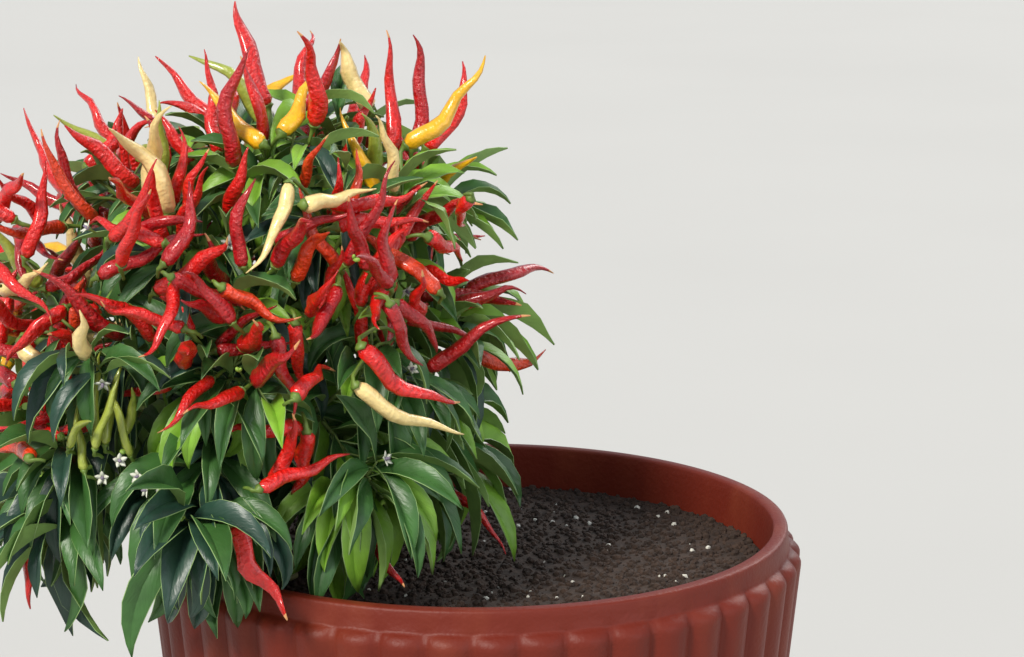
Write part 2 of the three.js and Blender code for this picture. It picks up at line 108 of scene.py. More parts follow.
# How a leaf heads forwards and outwards from its twig, how its length, bend and roll vary, and how far
# its face is turned outwards.
LEAF_WAY = {"ahead": 0.25, "out": (0.3, 0.4), "length": 0.18, "bend": (0.55, 0.6), "roll": 0.5}
FACE_OUT = 0.8
# A leaf's middle and the shares from it to root and tip that are tested for room.
BLADE_MIDDLE = 0.45
BLADE_SHARES = [0.3, 0.55, 0.8, 1]

# Fruits that stand out at the crown's top and front: ripeness, shoulder and tip.
STANDOUTS = [
    ("scarlet", (-108, -51, 537), (-127, -38, 591)),
    ("golden", (-107, -86, 522), (-138, -65, 553)),
    ("golden", (-99, -82, 527), (-83, -60, 558)),
    ("scarlet", (-134, -59, 513), (-140, -38, 566)),
    ("crimson", (-92, -44, 535), (-71, -38, 572)),
    ("cream", (-55, -38, 534), (-70, -38, 571)),
    ("scarlet", (-43, -49, 514), (-43, -38, 576)),
    ("crimson", (-33, -40, 513), (-30, -34, 573)),
    ("golden", (-36, -56, 517), (7, -44, 563)),
    ("scarlet", (-26, -38, 513), (-4, -30, 558)),
    ("scarlet", (-207, -73, 492), (-237, -38, 535)),
    ("scarlet", (-203, -60, 506), (-185, -47, 536)),
    ("scarlet", (-145, -68, 510), (-164, -58, 537)),
    ("cream", (-90, -145, 512), (-105, -172, 471)),
    ("cream", (-83, -153, 502), (-51, -129, 507)),
    ("cream", (-58, -160, 413), (-4, -134, 381)),
    ("scarlet", (-55, -160, 433), (-4, -135, 397)),
    ("scarlet", (-118, -168, 344), (-88, -181, 300)),
    ("cream", (-231, -116, 426), (-196, -142, 410)),
    ("cream", (-243, -98, 448), (-215, -120, 467)),
]
# Most fruits are red: the share of the draws up to each ripeness. The rest are young.
RIPENESS_LIMITS = {"scarlet": 0.44, "crimson": 0.76, "orange": 0.83, "golden": 0.89, "cream": 0.94}
RED = ["crimson", "scarlet", "orange"]
RIPENESSES = [*RED, "golden", "cream", "young"]

# What the dressed plant carries further: finer twigs, and more leaves and fruit by tier.
FINE_TWIGS = {"per_axis": 2, "first": 0.45, "span": 0.5, "turn": 70}
FINE_TWIG = {"lean": 0.7, "length": (13, 21), "radii": (0.75, 0.5)}
MORE_LEAVES = {"on_stem": 12, "on_twig": 7, "on_fine_twig": 4, "on_limb": 6, "size": 0.8, "room": 2.3}
# The share of an axis from which such leaves start, and the size of those on finer twigs.
MORE_FROM = {"axis": 0.1, "limb": 0.3, "fine_twig": 0.4}
FINE_TWIG_LEAF = 0.85
MORE_DROOP = {"stray": 14, "droop": 1.3}
# Further fruits by tier, their sizes, and the share of their twig from which they grow.
MORE_FRUIT = {"top": 2, "upper": 4, "middle": 3, "lower": 0}
MORE_FRUIT_SIZE = {"length": (34, 58), "radius": (3.6, 5), "stalk": (11, 18), "stray": 0.8, "first": 0.6}
# How near finer growth may come: shares of the fruits' radii for a fruit and a leaf, then lengths for
# pot and limb, and how far it may reach past its mass.
CLOSE = {"fruit": 0.93, "leaf": 0.9, "pot": 2, "limb": 0.5, "reach": 2}

# Jumbles of fruit at the crown's front and sides: middle, reach, count, ripeness and lift.
JUMBLES = [
    ((-143, -150, 471), 24, 14, "red", 0.9),
    ((-160, -132, 497), 18, 6, "red", 0.9),
    ((-126, -158, 443), 20, 7, "red", -0.1),
    ((-66, -142, 478), 22, 14, "red", 0.7),
    ((-40, -136, 450), 18, 6, "red", -0.4),
    ((-84, -158, 433), 16, 4, "red", -0.3),
    ((-226, -88, 484), 22, 9, "red", 0.3),
    ((-220, -112, 440), 24, 10, "red", 0.1),
    ((-222, -108, 394), 22, 8, "red", -0.2),
    ((-184, -147, 390), 14, 7, "young", 1.6),
    ((-93, -158, 378), 12, 4, "red", 0.0),
    ((-30, -112, 470), 22, 5, "golden", 0.2),
]
# Further jumbles on the sides that face away: turn and height as seen from the crown's middle.
FAR_JUMBLES = [(48, 40), (78, 18), (92, 55), (112, 30), (140, 46), (150, 10), (178, 38), (190, 12)]
FAR_JUMBLE = {"distance": 114, "reach": 22, "count": 9, "lift": 0.5}
JUMBLE_FRUIT = {"length": (42, 60), "radius": (3.8, 5), "turn": (0.2, 1.1)}
YOUNG_JUMBLE_FRUIT = {"length": (36, 48), "radius": (2.2, 3)}
# How far a jumble's fruit heads outwards, how much of it lies behind its place, and the stalk's way in.
JUMBLE_WAY = {"out": 0.25, "behind": 0.4, "stalk_back": 7, "stalk_in": 9, "flat": (1, 1, 0.6)}

# Leaf blades: stations along them, corners across them above and below, and how they are formed.
LEAF_STATIONS = np.array([0, 0.08, 0.15, 0.25, 0.37, 0.5, 0.63, 0.77, 0.9, 1])
# The corners at 0.95 bound the margin strip, which carries the painted highlight.
LEAF_TOP = np.array([1, 0.95, 0, -0.95, -1])
LEAF_UNDER = np.array([0])
# The rim's two corners and the midrib's, above and below.
LEAF_CREASES = [0, 2, 4, 5]
PETIOLE_SHARE = 0.1
PETIOLE_HALF = 0.45
TIP_HALF = 0.2
KEEL = 1.5
BLADE = {"twist": 1.7, "waves": 1.7, "ripple": 0.36}
# A leaf is dealt a younger, lighter colour by these amounts where it grows at the top and at the right:
# painted light, for the sun on the top and through the leaves at the right.
YOUNGER_WHERE_LIT = {"up": 0.5, "right": 0.4}
OLD_LIMIT = 0.74
GROWN_LIMIT = 1.36

# Fruits: stations and corners, how far they wave and hook, and how often a tip is dry.
FRUIT_STATIONS = np.array([0, 0.02, 0.07, 0.16, 0.27, 0.38, 0.49, 0.6, 0.7, 0.79, 0.87, 0.94, 1])
FRUIT_CORNERS = 9
FRUIT_BENDS = {"wave": 0.035, "sway": 0.03, "hook": 16, "hook_from": 0.76, "usual_radius": 5}
DRY_TIPS = 0.4
CUP_CORNERS = 8
STALK_RADII = [0.9, 0.9, 1, 1.2]
# Along the fruit from its shoulder, the radius as a share of the fruit's, and how far it is lobed.
CUP_PROFILE = [(-1.3, 0.36, 0), (-0.4, 0.56, 0), (0.8, 0.8, 1), (0.5, 0.4, 0)]

# Flowers: half widths along a petal, radii along the cone of anthers, and where the front ones are.
PETALS = 5
PETAL_PROFILE = [(0.5, 0.6), (2, 1.4), (3.6, 1.1), (5.2, 0.15)]
PETAL_THICKNESS = 0.2
PETAL_DROOP = 0.04
CONE_PROFILE = [(-4.6, 0.5), (-1.5, 0.7), (0, 1.2), (3.2, 0.5)]
FLOWER_SHARE = 0.4
FLOWER_STALK = 5
BLOSSOM_ROOM = 3
FRONT_FLOWERS = [
    (-183, -146, 484),
    (-160, -155, 365),
    (-190, -138, 360),
    (-54, -158, 474),
    (-176, -154, 377),
]

# Lights: where each stands, its share of the key light's strength and softness, and its colour.
LIGHTS = [
    ("key", (-1.1, -1.5, 2.1), 1, 1, (1, 0.95, 0.87)),
    ("fill", (1.6, -1.3, 1.1), 0.2, 3, (0.9, 0.95, 1)),
    ("rim", (0.9, 1.5, 1.6), 0.34, 2, (1, 1, 0.97)),
]
LIT_PLACE = (-0.1, -0.04, 0.42)
SKY_STRENGTH = 0.62
FLOOR_HALF = 40


def display(red, green, blue):
    """A display colour, each channel from 0 to 255, as Blender's linear one."""
    return tuple(((c / 255 + 0.055) / 1.055) ** 2.4 for c in (red, green, blue))


def colour_setting(name, description, *channels):
    return FloatVectorProperty(
        name=name,
        description=description,
        default=display(*channels),
        size=3,
        min=0,
        max=1,
        subtype="COLOR",
    )


def number_setting(name, description, default, least, most):
    return FloatProperty(name=name, description=description, default=default, min=least, max=most)


def length_setting(name, description, default):
    return FloatProperty(name=name, description=description, default=default, unit="LENGTH")


def angle_setting(name, description, degrees):
    turn = math.radians(degrees)
    return FloatProperty(name=name, description=description, default=turn, subtype="ANGLE", unit="ROTATION")


class ChilliLeafSettings(bpy.types.PropertyGroup):
    """The leaf blades' shape and colours."""

    width: number_setting("Width", "A leaf's width as a share of its length", 0.21, 0.1, 0.6)
    fold: number_setting("Fold", "How steeply the two halves rise from the midrib", 0.9, 0, 1.5)
    thickness: length_setting("Thickness", "How thick the blades are", 0.00045)
    dark: colour_setting("Old leaf", "The upper side of an old leaf", 36, 63, 50)
    middle: colour_setting("Grown leaf", "The upper side of a grown leaf", 53, 91, 41)
    # Young leaf colour is also dealt to leaves at the top and right as painted light.
    fresh: colour_setting("Young leaf", "The upper side of a young leaf", 112, 154, 46)
    # The margin's colour is a painted highlight: the pale line where a leaf's curled edge catches the
    # light.
    margin: colour_setting("Margin", "The pale margin of a leaf", 140, 170, 104)
    underside: colour_setting("Underside", "The matt underside of a leaf", 128, 162, 84)


class ChilliFruitSettings(bpy.types.PropertyGroup):
    """The fruits' surface and colours."""

    wrinkle: number_setting("Wrinkle", "How deep the folds in a fruit's skin are", 0.12, 0, 0.3)
    girth: number_setting("Girth", "A fruit's thickness as a share of its room", 0.88, 0.5, 1)
    crimson: colour_setting("Crimson", "A fully ripe fruit", 186, 12, 20)
    scarlet: colour_setting("Scarlet", "A ripe fruit", 226, 22, 14)
    orange: colour_setting("Orange", "A fruit that is turning red", 228, 62, 16)
    golden: colour_setting("Golden", "A fruit that is turning yellow", 246, 184, 26)
    cream: colour_setting("Cream", "A pale fruit before it turns", 246, 218, 146)
    young: colour_setting("Young", "An unripe fruit", 160, 172, 66)
    dry: colour_setting("Dry tip", "A dried fruit tip", 224, 160, 104)
    stalk: colour_setting("Stalk", "The fruit stalks and their cups", 104, 130, 50)


class ChilliPotSettings(bpy.types.PropertyGroup):
    """The pot's fluting and glaze, and the soil."""

    flutes: IntProperty(name="Flutes", description="How many lobes run round the pot", default=46, min=3)
    depth: length_setting("Flute depth", "How deep the grooves are", FLUTE_DEPTH * MM)
    glaze: colour_setting("Terracotta", "The pot's fired clay", 106, 34, 19)
    bloom: colour_setting("Bloom", "Worn and dusty clay", 134, 62, 38)
    soil: colour_setting("Soil", "Moist potting soil", 46, 33, 25)
    perlite: colour_setting("Perlite", "White grains in the soil", 206, 202, 190)


class ChilliStemSettings(bpy.types.PropertyGroup):
    """The colours of stem, boughs, twigs and flowers."""

    wood: colour_setting("Wood", "The woody foot of the stem", 128, 112, 78)
    green: colour_setting("Green bark", "The boughs' green bark", 104, 126, 60)
    petal: colour_setting("Petal", "The white petals", 222, 224, 206)
    anther: colour_setting("Anther", "The anthers in a flower's middle", 120, 110, 128)


class ChilliStageSettings(bpy.types.PropertyGroup):
    """The camera, floor and lights."""

    distance: length_setting("Distance", "From the camera to what it aims at", 1.6)
    width: length_setting("View width", "How much the view takes in there", 0.563)
    elevation: angle_setting("Elevation", "How far the camera looks down", 11.8)
    aim: FloatVectorProperty(
        name="Aim",
        description="What the camera looks at",
        default=(0.02, 0, 0.408),
        subtype="TRANSLATION",
    )
    key: FloatProperty(name="Key light", description="Strength of the main light", default=3.55, min=0)
    softness: angle_setting("Softness", "How wide the main light is, as seen from the plant", 14)
    floor: colour_setting("Floor", "The pale floor", 188, 186, 182)
    sky: colour_setting("Sky", "The light from all round", 214, 226, 240)


class ChilliPlantSettings(bpy.types.PropertyGroup):
    """All settings of the plant."""

    leaf: PointerProperty(type=ChilliLeafSettings)
    fruit: PointerProperty(type=ChilliFruitSettings)
    pot: PointerProperty(type=ChilliPotSettings)
    stem: PointerProperty(type=ChilliStemSettings)
    stage: PointerProperty(type=ChilliStageSettings)


# The seeded rule, which gives the same numbers as the part's source.
def chance(*keys):
    """A number from 0 to 1 that depends only on the whole numbers it is given."""
    value = SEED
    for key in keys:
        value = ((value ^ (key + 1)) * 0x9E3779B1) & 0xFFFFFFFF
        value ^= value >> 15
        value = (value * 0x85EBCA77) & 0xFFFFFFFF
        value ^= value >> 13
    return value / 4294967296


def between(ends, *keys):
    return ends[0] + (ends[1] - ends[0]) * chance(*keys)


def swing(size, *keys):
    return size * (2 * chance(*keys) - 1)


def stray_vector(*keys):
    return np.array([swing(1, *keys, 1), swing(1, *keys, 2), swing(1, *keys, 3)])


# Vectors and curves.
def unit(vector):
    return vector / np.linalg.norm(vector, axis=-1, keepdims=True)


def towards(azimuth, elevation):
    a, e = math.radians(azimuth), math.radians(elevation)
    return np.array([math.cos(e) * math.cos(a), math.cos(e) * math.sin(a), math.sin(e)])


def from_crown(azimuth, elevation, distance):
    """A place in the crown, which leans to the right as it rises."""
    place = CROWN + towards(azimuth, elevation) * distance
    place[0] += LEAN * (place[2] - CROWN[2])
    return place


def square_to(axis, vector):
    """The part of a vector square to an axis, as a unit vector."""
    square = vector - axis * (vector @ axis)
    if square @ square < 1e-6:
        square = np.cross([axis[1], axis[2], axis[0]], axis)
    return unit(square)


def turned(vector, axis, angle):
    """A vector turned about a unit axis. The arguments may be arrays of them."""
    angle = np.asarray(angle)[..., None]
    along = (vector * axis).sum(-1, keepdims=True)
    spun = vector * np.cos(angle) + np.cross(axis, vector) * np.sin(angle)
    return spun + axis * along * (1 - np.cos(angle))


def beside(heading, degrees):
    """A direction square to a heading, turned about it from its upper side."""
    return turned(square_to(heading, UP), heading, math.radians(degrees))


def spokes_of(first, second, angles):
    """Directions round a centre, in the plane of two directions."""
    return np.outer(np.cos(angles), first) + np.outer(np.sin(angles), second)


def round_angles(count):
    return np.arange(count) / count * 2 * np.pi


class Arc:
    """A curve that starts along a heading and turns towards a pull."""

    def __init__(self, start, heading, pull, turn, length):
        self.start = start
        self.heading = heading
        self.side = square_to(heading, pull)
        self.turn = turn
        self.length = length

    def point(self, share):
        angle = self.turn * np.asarray(share, float)[..., None]
        size = self.length / self.turn
        aside = self.side * size * (1 - np.cos(angle))
        return self.start + self.heading * size * np.sin(angle) + aside

    def tangent(self, share):
        angle = self.turn * share
        return self.heading * math.cos(angle) + self.side * math.sin(angle)


def arc_between(start, end, pull, turn):
    chord = end - start
    along = unit(chord)
    side = square_to(along, pull)
    heading = along * math.cos(turn / 2) - side * math.sin(turn / 2)
    length = np.linalg.norm(chord) * turn / (2 * math.sin(turn / 2))
    return Arc(start, heading, side, turn, length)


def along_arcs(arcs, stations):
    """Centres, headings and crossways directions along many arcs at once, and their turn and length."""
    keys = ("start", "heading", "side", "turn", "length")
    columns = (np.array([getattr(arc, key) for arc in arcs])[:, None] for key in keys)
    start, way, side, turn, length = columns
    angle = (turn * stations)[..., None]
    centre = start + (way * np.sin(angle) + side * (1 - np.cos(angle))) * (length / turn)[..., None]
    heading = way * np.cos(angle) + side * np.sin(angle)
    across = np.cross(way, side) + 0 * heading
    return centre, heading, across, turn, length


class Limb:
    """A tapering limb along a quadratic curve that leaves its start along a heading."""

    def __init__(self, start, heading, end, radii, segments=3, name="", azimuth=0):
        self.start = start
        self.middle = start + heading * (np.linalg.norm(end - start) * 0.5)
        self.end = end
        self.radii = radii
        self.name = name
        self.azimuth = azimuth
        self.points = self.point(np.linspace(0, 1, segments + 1))

    def point(self, share):
        t = np.asarray(share, float)[..., None]
        return self.start * (1 - t) ** 2 + self.middle * 2 * t * (1 - t) + self.end * t**2

    def tangent(self, share):
        before, after = max(share - 1e-4, 0), min(share + 1e-4, 1)
        return unit(self.point(after) - self.point(before))

    def radius(self, share):
        return self.radii[0] + (self.radii[1] - self.radii[0]) * share

    def segments(self):
        return np.stack([self.points[:-1], self.points[1:]], 1)


def gaps(points, segments):
    """How far each point is from each segment, given as its two ends."""
    start = segments[:, 0]
    along = segments[:, 1] - start
    share = np.einsum("psk,sk->ps", points[:, None] - start, along) / (along**2).sum(1)
    nearest = start + np.clip(share, 0, 1)[..., None] * along
    return np.linalg.norm(points[:, None] - nearest, axis=-1)


# The growth of limbs, shoots and their foliage by the rule of the part's source.
def bough_from(start, kind, name, azimuth, leaves_at):
    """A bough of one kind that sets off at one azimuth and ends at another in the crown."""
    tip = from_crown(azimuth, kind["elevation"], kind["distance"])
    heading = towards(leaves_at, kind["rise"])
    return Limb(start, heading, tip, kind["radii"], name=name, azimuth=azimuth)


def grow_limbs():
    """Stem, leader, primaries, risers and laterals."""
    stem = Limb(FOOT, UP, FORK, (STEM_RADII[0], STEM_RADII[3]), name="main_stem")
    leader_tip = from_crown(0, LEADER["elevation"], LEADER["distance"])
    leader = Limb(FORK, UP, leader_tip, LEADER["radii"], name="leader_bough")
    primaries, risers, laterals = [], [], []
    for p in range(PRIMARIES["count"]):
        azimuth = PRIMARIES["first"] + 360 / PRIMARIES["count"] * p
        primary = bough_from(FORK, PRIMARY, f"primary_bough_{p + 1}", azimuth, azimuth)
        fork, name = primary.end, f"rising_bough_{p + 1}"
        primaries.append(primary)
        risers.append(bough_from(fork, RISER, name, azimuth + RISER["turn"], azimuth))
        for side in (-1, 1):
            name = f"side_bough_{len(laterals) + 1}"
            aimed, leaves_at = azimuth + side * LATERAL["turn"], azimuth + side * LATERAL["leave"]
            laterals.append(bough_from(fork, LATERAL, name, aimed, leaves_at))
    return stem, leader, primaries, risers, laterals


class Shoot:
    """A stem with twigs, leaves and fruit that keep to a space of their own."""

    def __init__(self, name, tier, bough, azimuth, index):
        look = TIERS[tier]
        aside, raised, further = SHOOT["stray"]
        aimed = azimuth + swing(aside, index, 1)
        tilted = look["elevation"] + swing(raised, index, 2)
        self.name = name
        self.tier = tier
        self.index = index
        self.heart = from_crown(aimed, tilted, look["heart"] * (1 + swing(further, index, 3)))
        self.out = towards(aimed, tilted)
        end = self.heart + self.out * SHOOT["past"]
        heading = unit(unit(self.heart - bough.end) + bough.tangent(1))
        self.stem = Limb(bough.end, heading, end, (SHOOT["radius"], SHOOT["tip"]))
        self.twigs = []
        self.fine_twigs = []
        self.leaves = []
        self.fruits = []


def place_shoots(leader, risers, laterals):
    shoots = []

    def add(tier, number, bough, azimuth):
        shoots.append(Shoot(f"foliage_{tier}_{number}", tier, bough, azimuth, len(shoots)))

    for i in range(3):
        add("top", i + 1, leader, -90 + 120 * i)
    for i, riser in enumerate(risers):
        for side in (0, 1):
            add("upper", 2 * i + side + 1, riser, riser.azimuth + 45 * side - 22.5)
    for tier in ("middle", "lower"):
        for i, lateral in enumerate(laterals):
            add(tier, i + 1, lateral, lateral.azimuth)
    return shoots


def clear_of_pot(points, room):
    radius = np.hypot(points[:, 0], points[:, 1])
    rise = (points[:, 2] - FLUTE_FOOT) / (SHOULDER_HEIGHT - FLUTE_FOOT)
    wall = FOOT_RADIUS + (SHOULDER_RADIUS - FOOT_RADIUS) * np.clip(rise, 0, 1)
    outside = (radius > wall + room) | (points[:, 2] > POT_HEIGHT + room)
    inside = (radius < COLLAR_RADIUS - POT_WALL - room) & (points[:, 2] > SOIL_TOP + room)
    return outside | inside


class Space:
    """A shoot's own space, which ends half way to every other shoot, and what is barred in it."""

    def __init__(self, own, shoots, limbs, standouts):
        others = [shoot for shoot in shoots if shoot is not own]
        apart = np.array([shoot.heart - own.heart for shoot in others])
        self.ways = unit(apart)
        self.limits = ((own.heart + apart / 2) * self.ways).sum(1)
        barred = [limb.segments() for limb in limbs] + [fruit.segments() for fruit in standouts]
        sizes = [limb.radii[0] for limb in limbs] + [fruit.radius for fruit in standouts]
        self.barred = np.concatenate(barred)
        self.barred_sizes = np.repeat(sizes, [len(segments) for segments in barred])
        self.stems = np.concatenate([shoot.stem.segments() for shoot in others])
        self.axes = [own.stem]
        self.taken = np.empty((0, 3))

    def has_room(self, points, room):
        if not clear_of_pot(points, room + ROOM["pot"]).all():
            return False
        if (points @ self.ways.T - self.limits >= -GAP - room).any():
            return False
        if len(self.taken):
            nearest = np.linalg.norm(points[:, None] - self.taken, axis=-1)
            if (nearest <= room / 3 + ROOM["leaf"]).any():
                return False
        if (gaps(points, self.barred) <= self.barred_sizes + room + ROOM["limb"]).any():
            return False
        for axis in self.axes:
            if (gaps(points, axis.segments()) <= axis.radii[0] + room + ROOM["twig"]).any():
                return False
        return (gaps(points, self.stems) > SHOOT["radius"] + room + ROOM["stem"]).all()

    def keep(self, points, room):
        kept = self.has_room(points, room)
        if kept:
            self.taken = np.concatenate([self.taken, points])
        return kept


class Leaf:
    """A leaf along an arc. Its face is turned upwards and outwards, and rolled a little."""

    def __init__(self, arc, roll, out, spray, age):
        heading = arc.tangent(BLADE_MIDDLE)
        self.arc = arc
        self.face = turned(square_to(heading, UP + out * FACE_OUT), heading, roll)
        self.side = np.cross(self.face, heading)
        self.spray = spray
        # Painted light: the draw that deals the blade's colour is raised at the top and at the right, where
        # the light falls on the leaves and shines through them.
        self.age = age + YOUNGER_WHERE_LIT["up"] * max(out[2], 0) + YOUNGER_WHERE_LIT["right"] * max(out[0], 0)

    def surface_points(self, rows=8, lines=3):
        """Points in rows across the blade, as it is drawn."""
        shares = np.linspace(0.16, 0.98, rows)
        half = self.arc.length * LEAVES["width"] / 2 * leaf_outline(shares)[:, None]
        middle = self.arc.point(shares)
        lifted = self.face * 0.6
        edges = [half * (self.side * v + lifted * abs(v)) for v in np.linspace(-1, 1, lines)]
        return np.concatenate([middle + edge for edge in edges])

    def blade_points(self):
        """Points along the three edges of the plain blade in the part's source."""
        length = self.arc.length
        half = length * LEAVES["width"] / 2
        raised = self.face * half * LEAVES["fold"] * 2
        middle = self.arc.point(BLADE_MIDDLE)
        right = middle + self.side * half + raised
        keel = middle + self.face * length * LEAVES["thickness"]
        corners = np.array([right, keel, middle - self.side * half + raised])
        root, tip = self.arc.start, self.arc.point(1)
        along = np.array(BLADE_SHARES)[:, None, None]
        inner = root + (corners - root) * along
        outer = corners + (tip - corners) * along
        return np.concatenate([inner.reshape(-1, 3), outer.reshape(-1, 3)])


class Fruit:
    """A fruit along an arc from its shoulder to its tip, and where its stalk starts."""

    def __init__(self, arc, radius, joint, ripeness, keys):
        self.arc = arc
        self.radius = radius
        self.joint = joint
        self.ripeness = ripeness
        self.keys = keys

    def core_points(self):
        return self.arc.point(np.linspace(0, 1, 5))

    def segments(self):
        points = np.concatenate([self.joint[None], self.core_points()])
        return np.stack([points[:-1], points[1:]], 1)


def twig_from(axis, share, degrees, kind, length, segments):
    """A straight twig of one kind that leaves a stem or twig to one side."""
    start, heading = axis.point(share), axis.tangent(share)
    way = unit(heading * kind["lean"] + beside(heading, degrees))
    return Limb(start, way, start + way * length, kind["radii"], segments)


def grow_twigs(own):
    made = []
    for t in range(TWIGS["count"]):
        share = TWIGS["first"] + TWIGS["step"] * t
        length = between(TWIG["length"], own.index, 10, t)
        made.append(twig_from(own.stem, share, GOLDEN_ANGLE * (t + own.index), TWIG, length, 1))
    return made


def leaf_at(axis, share, golden_turn, own, keys, size, stray, droop=1):
    """One leaf on a stem or twig, turned about it and drooping."""
    look = TIERS[own.tier]
    start, heading = axis.point(share), axis.tangent(share)
    side = beside(heading, GOLDEN_ANGLE * golden_turn + swing(stray, *keys, 1))
    least_out, more_out = LEAF_WAY["out"]
    out = own.out * (least_out + more_out * share)
    way = unit(side + heading * LEAF_WAY["ahead"] + out + UP * look["rise"])
    length = size * (1 + swing(LEAF_WAY["length"], *keys, 2))
    least_bend, more_bend = LEAF_WAY["bend"]
    bend = droop * look["droop"] * (least_bend + more_bend * chance(*keys, 3))
    roll = swing(LEAF_WAY["roll"], *keys, 4)
    return Leaf(Arc(start, way, DOWN, bend, length), roll, own.out, own.index, chance(*keys, 5))


def leaves_along(axis, count, own, number, keep):
    """Leaves along one stem or twig, each turned by the golden angle from the last."""
    size = TIERS[own.tier]["leaf"]
    for j in range(count):
        share = LEAVES["first"] + (LAST_LEAF - LEAVES["first"]) * (j + 0.5) / count
        for attempt in range(TRIES["mass"]):
            keys = (own.index, 20 + number, j, attempt)
            leaf = leaf_at(axis, share, j + number, own, keys, size, TRIES["stray"] * (attempt + 1))
            if keep(leaf.blade_points(), 0):
                own.leaves.append(leaf)
                break


def ripeness_of(*keys):
    draw = chance(*keys, 50)
    return next((ripeness for ripeness, limit in RIPENESS_LIMITS.items() if draw < limit), "young")


def grow_fruits(own, ends, keep):
    look = TIERS[own.tier]
    for j in range(look["fruit"]):
        joint = ends[j % len(ends)]
        for attempt in range(TRIES["mass"]):
            keys = (own.index, 40, j, attempt)
            stray = stray_vector(*keys) * [1, 1, 0.8]
            way = unit(stray * FRUIT["stray"] + UP * look["lift"] + own.out * look["spread"])
            pull = np.array([swing(1, *keys, k) for k in (4, 5, 6)])
            turn, length = between(FRUIT["turn"], *keys, 9), between(FRUIT["length"], *keys, 7)
            radius = between(FRUIT["radius"], *keys, 8)
            arc = Arc(joint + way * FRUIT["stalk"], way, pull, turn, length)
            fruit = Fruit(arc, radius, joint, ripeness_of(*keys), keys)
            if keep(fruit.core_points(), radius):
                own.fruits.append(fruit)
                break


def nearest_on(limb, point):
    last = limb.points[-2:]
    share = np.clip((point - last[0]) @ (last[1] - last[0]) / ((last[1] - last[0]) ** 2).sum(), 0, 1)
    return last[0] + (last[1] - last[0]) * share


def place_standouts(shoots):
    """Each fruit that stands out grows from the shoot that passes nearest to its shoulder."""
    made = []
    for j, (ripeness, start, end) in enumerate(STANDOUTS):
        start, end = np.array(start, float), np.array(end, float)
        joints = [nearest_on(shoot.stem, start) for shoot in shoots]
        joint = min(joints, key=lambda place: np.linalg.norm(place - start))
        arc = arc_between(start, end, UP, between(FRUIT["turn"], 900, j, 1))
        made.append(Fruit(arc, between(FRUIT["radius"], 900, j, 2), joint, ripeness, (900, j)))
    return made


def grow_mass(own, shoots, limbs, standouts):
    """A mass as the part's source grows it."""
    space = Space(own, shoots, limbs, standouts)
    for twig in grow_twigs(own):
        if space.keep(twig.point([1 / 3, 2 / 3, 1]), 0):
            own.twigs.append(twig)
    space.axes = [own.stem, *own.twigs]
    for number, axis in enumerate(space.axes):
        count = LEAVES["on_twig"] if number else LEAVES["on_stem"]
        leaves_along(axis, count, own, number, space.keep)
    grow_fruits(own, [axis.end for axis in space.axes], space.keep)


# The finer growth of the dressed plant.
class Crowd:
    """All that is grown so far, which finer growth keeps clear of."""

    def __init__(self, shoots, limbs, standouts):
        self.fruits = [*standouts, *(fruit for shoot in shoots for fruit in shoot.fruits)]
        self.gather_leaves(shoots)
        self.limb_segments = np.concatenate([limb.segments() for limb in limbs])
        self.limb_sizes = np.repeat([limb.radii[0] for limb in limbs], 3)
        self.reach = {}
        for shoot in shoots:
            places = [leaf.blade_points() for leaf in shoot.leaves]
            places += [fruit.core_points() for fruit in shoot.fruits]
            self.reach[shoot.index] = max(self.spread(points).max() for points in places)
        self.gather_fruits()

    def gather_leaves(self, shoots):
        blades = [leaf.surface_points() for shoot in shoots for leaf in shoot.leaves]
        self.blades = np.concatenate(blades)

    def gather_fruits(self):
        self.fruit_segments = np.concatenate([fruit.segments()[1:] for fruit in self.fruits])
        self.fruit_sizes = np.repeat([fruit.radius for fruit in self.fruits], 4)

    def spread(self, points):
        """How far points are from the crown's leaning axis and middle."""
        away = points - CROWN
        return np.linalg.norm(away - np.outer(away[:, 2] * LEAN, [1, 0, 0]), axis=1)

    def within(self, points, own):
        return (self.spread(points) <= self.reach[own.index] + CLOSE["reach"]).all()

    def fruit_fits(self, fruit, own):
        points = fruit.arc.point(np.linspace(0, 1, 9))
        if own is not None and not self.within(points, own):
            return False
        if not clear_of_pot(points, fruit.radius + CLOSE["pot"]).all():
            return False
        room = (self.fruit_sizes + fruit.radius) * CLOSE["fruit"]
        if (gaps(points, self.fruit_segments) <= room).any():
            return False
        return (gaps(points, self.limb_segments) > self.limb_sizes + fruit.radius).all()

    def add_fruit(self, fruit):
        self.fruits.append(fruit)
        self.gather_fruits()

    def thin_leaves(self, shoots):
        """Takes out each leaf that a fruit has grown through."""
        for shoot in shoots:
            shoot.leaves = [leaf for leaf in shoot.leaves if self.clear_of_fruit(leaf)]
        self.gather_leaves(shoots)

    def clear_of_fruit(self, leaf):
        away = gaps(leaf.surface_points(9, 5), self.fruit_segments)
        return (away > self.fruit_sizes * CLOSE["leaf"]).all()

    def leaf_fits(self, leaf, own, room):
        points = leaf.surface_points()
        if not self.within(points, own) or not clear_of_pot(points, CLOSE["pot"]).all():
            return False
        reach = leaf.arc.length * 0.5 + room + 4
        near = self.blades[(np.abs(self.blades - leaf.arc.point(0.5)) < reach).all(1)]
        if len(near) and (np.linalg.norm(points[:, None] - near, axis=-1) < room).any():
            return False
        if not self.clear_of_fruit(leaf):
            return False
        return (gaps(points, self.limb_segments) > self.limb_sizes + CLOSE["limb"]).all()

    def add_leaf(self, leaf):
        self.blades = np.concatenate([self.blades, leaf.surface_points()])


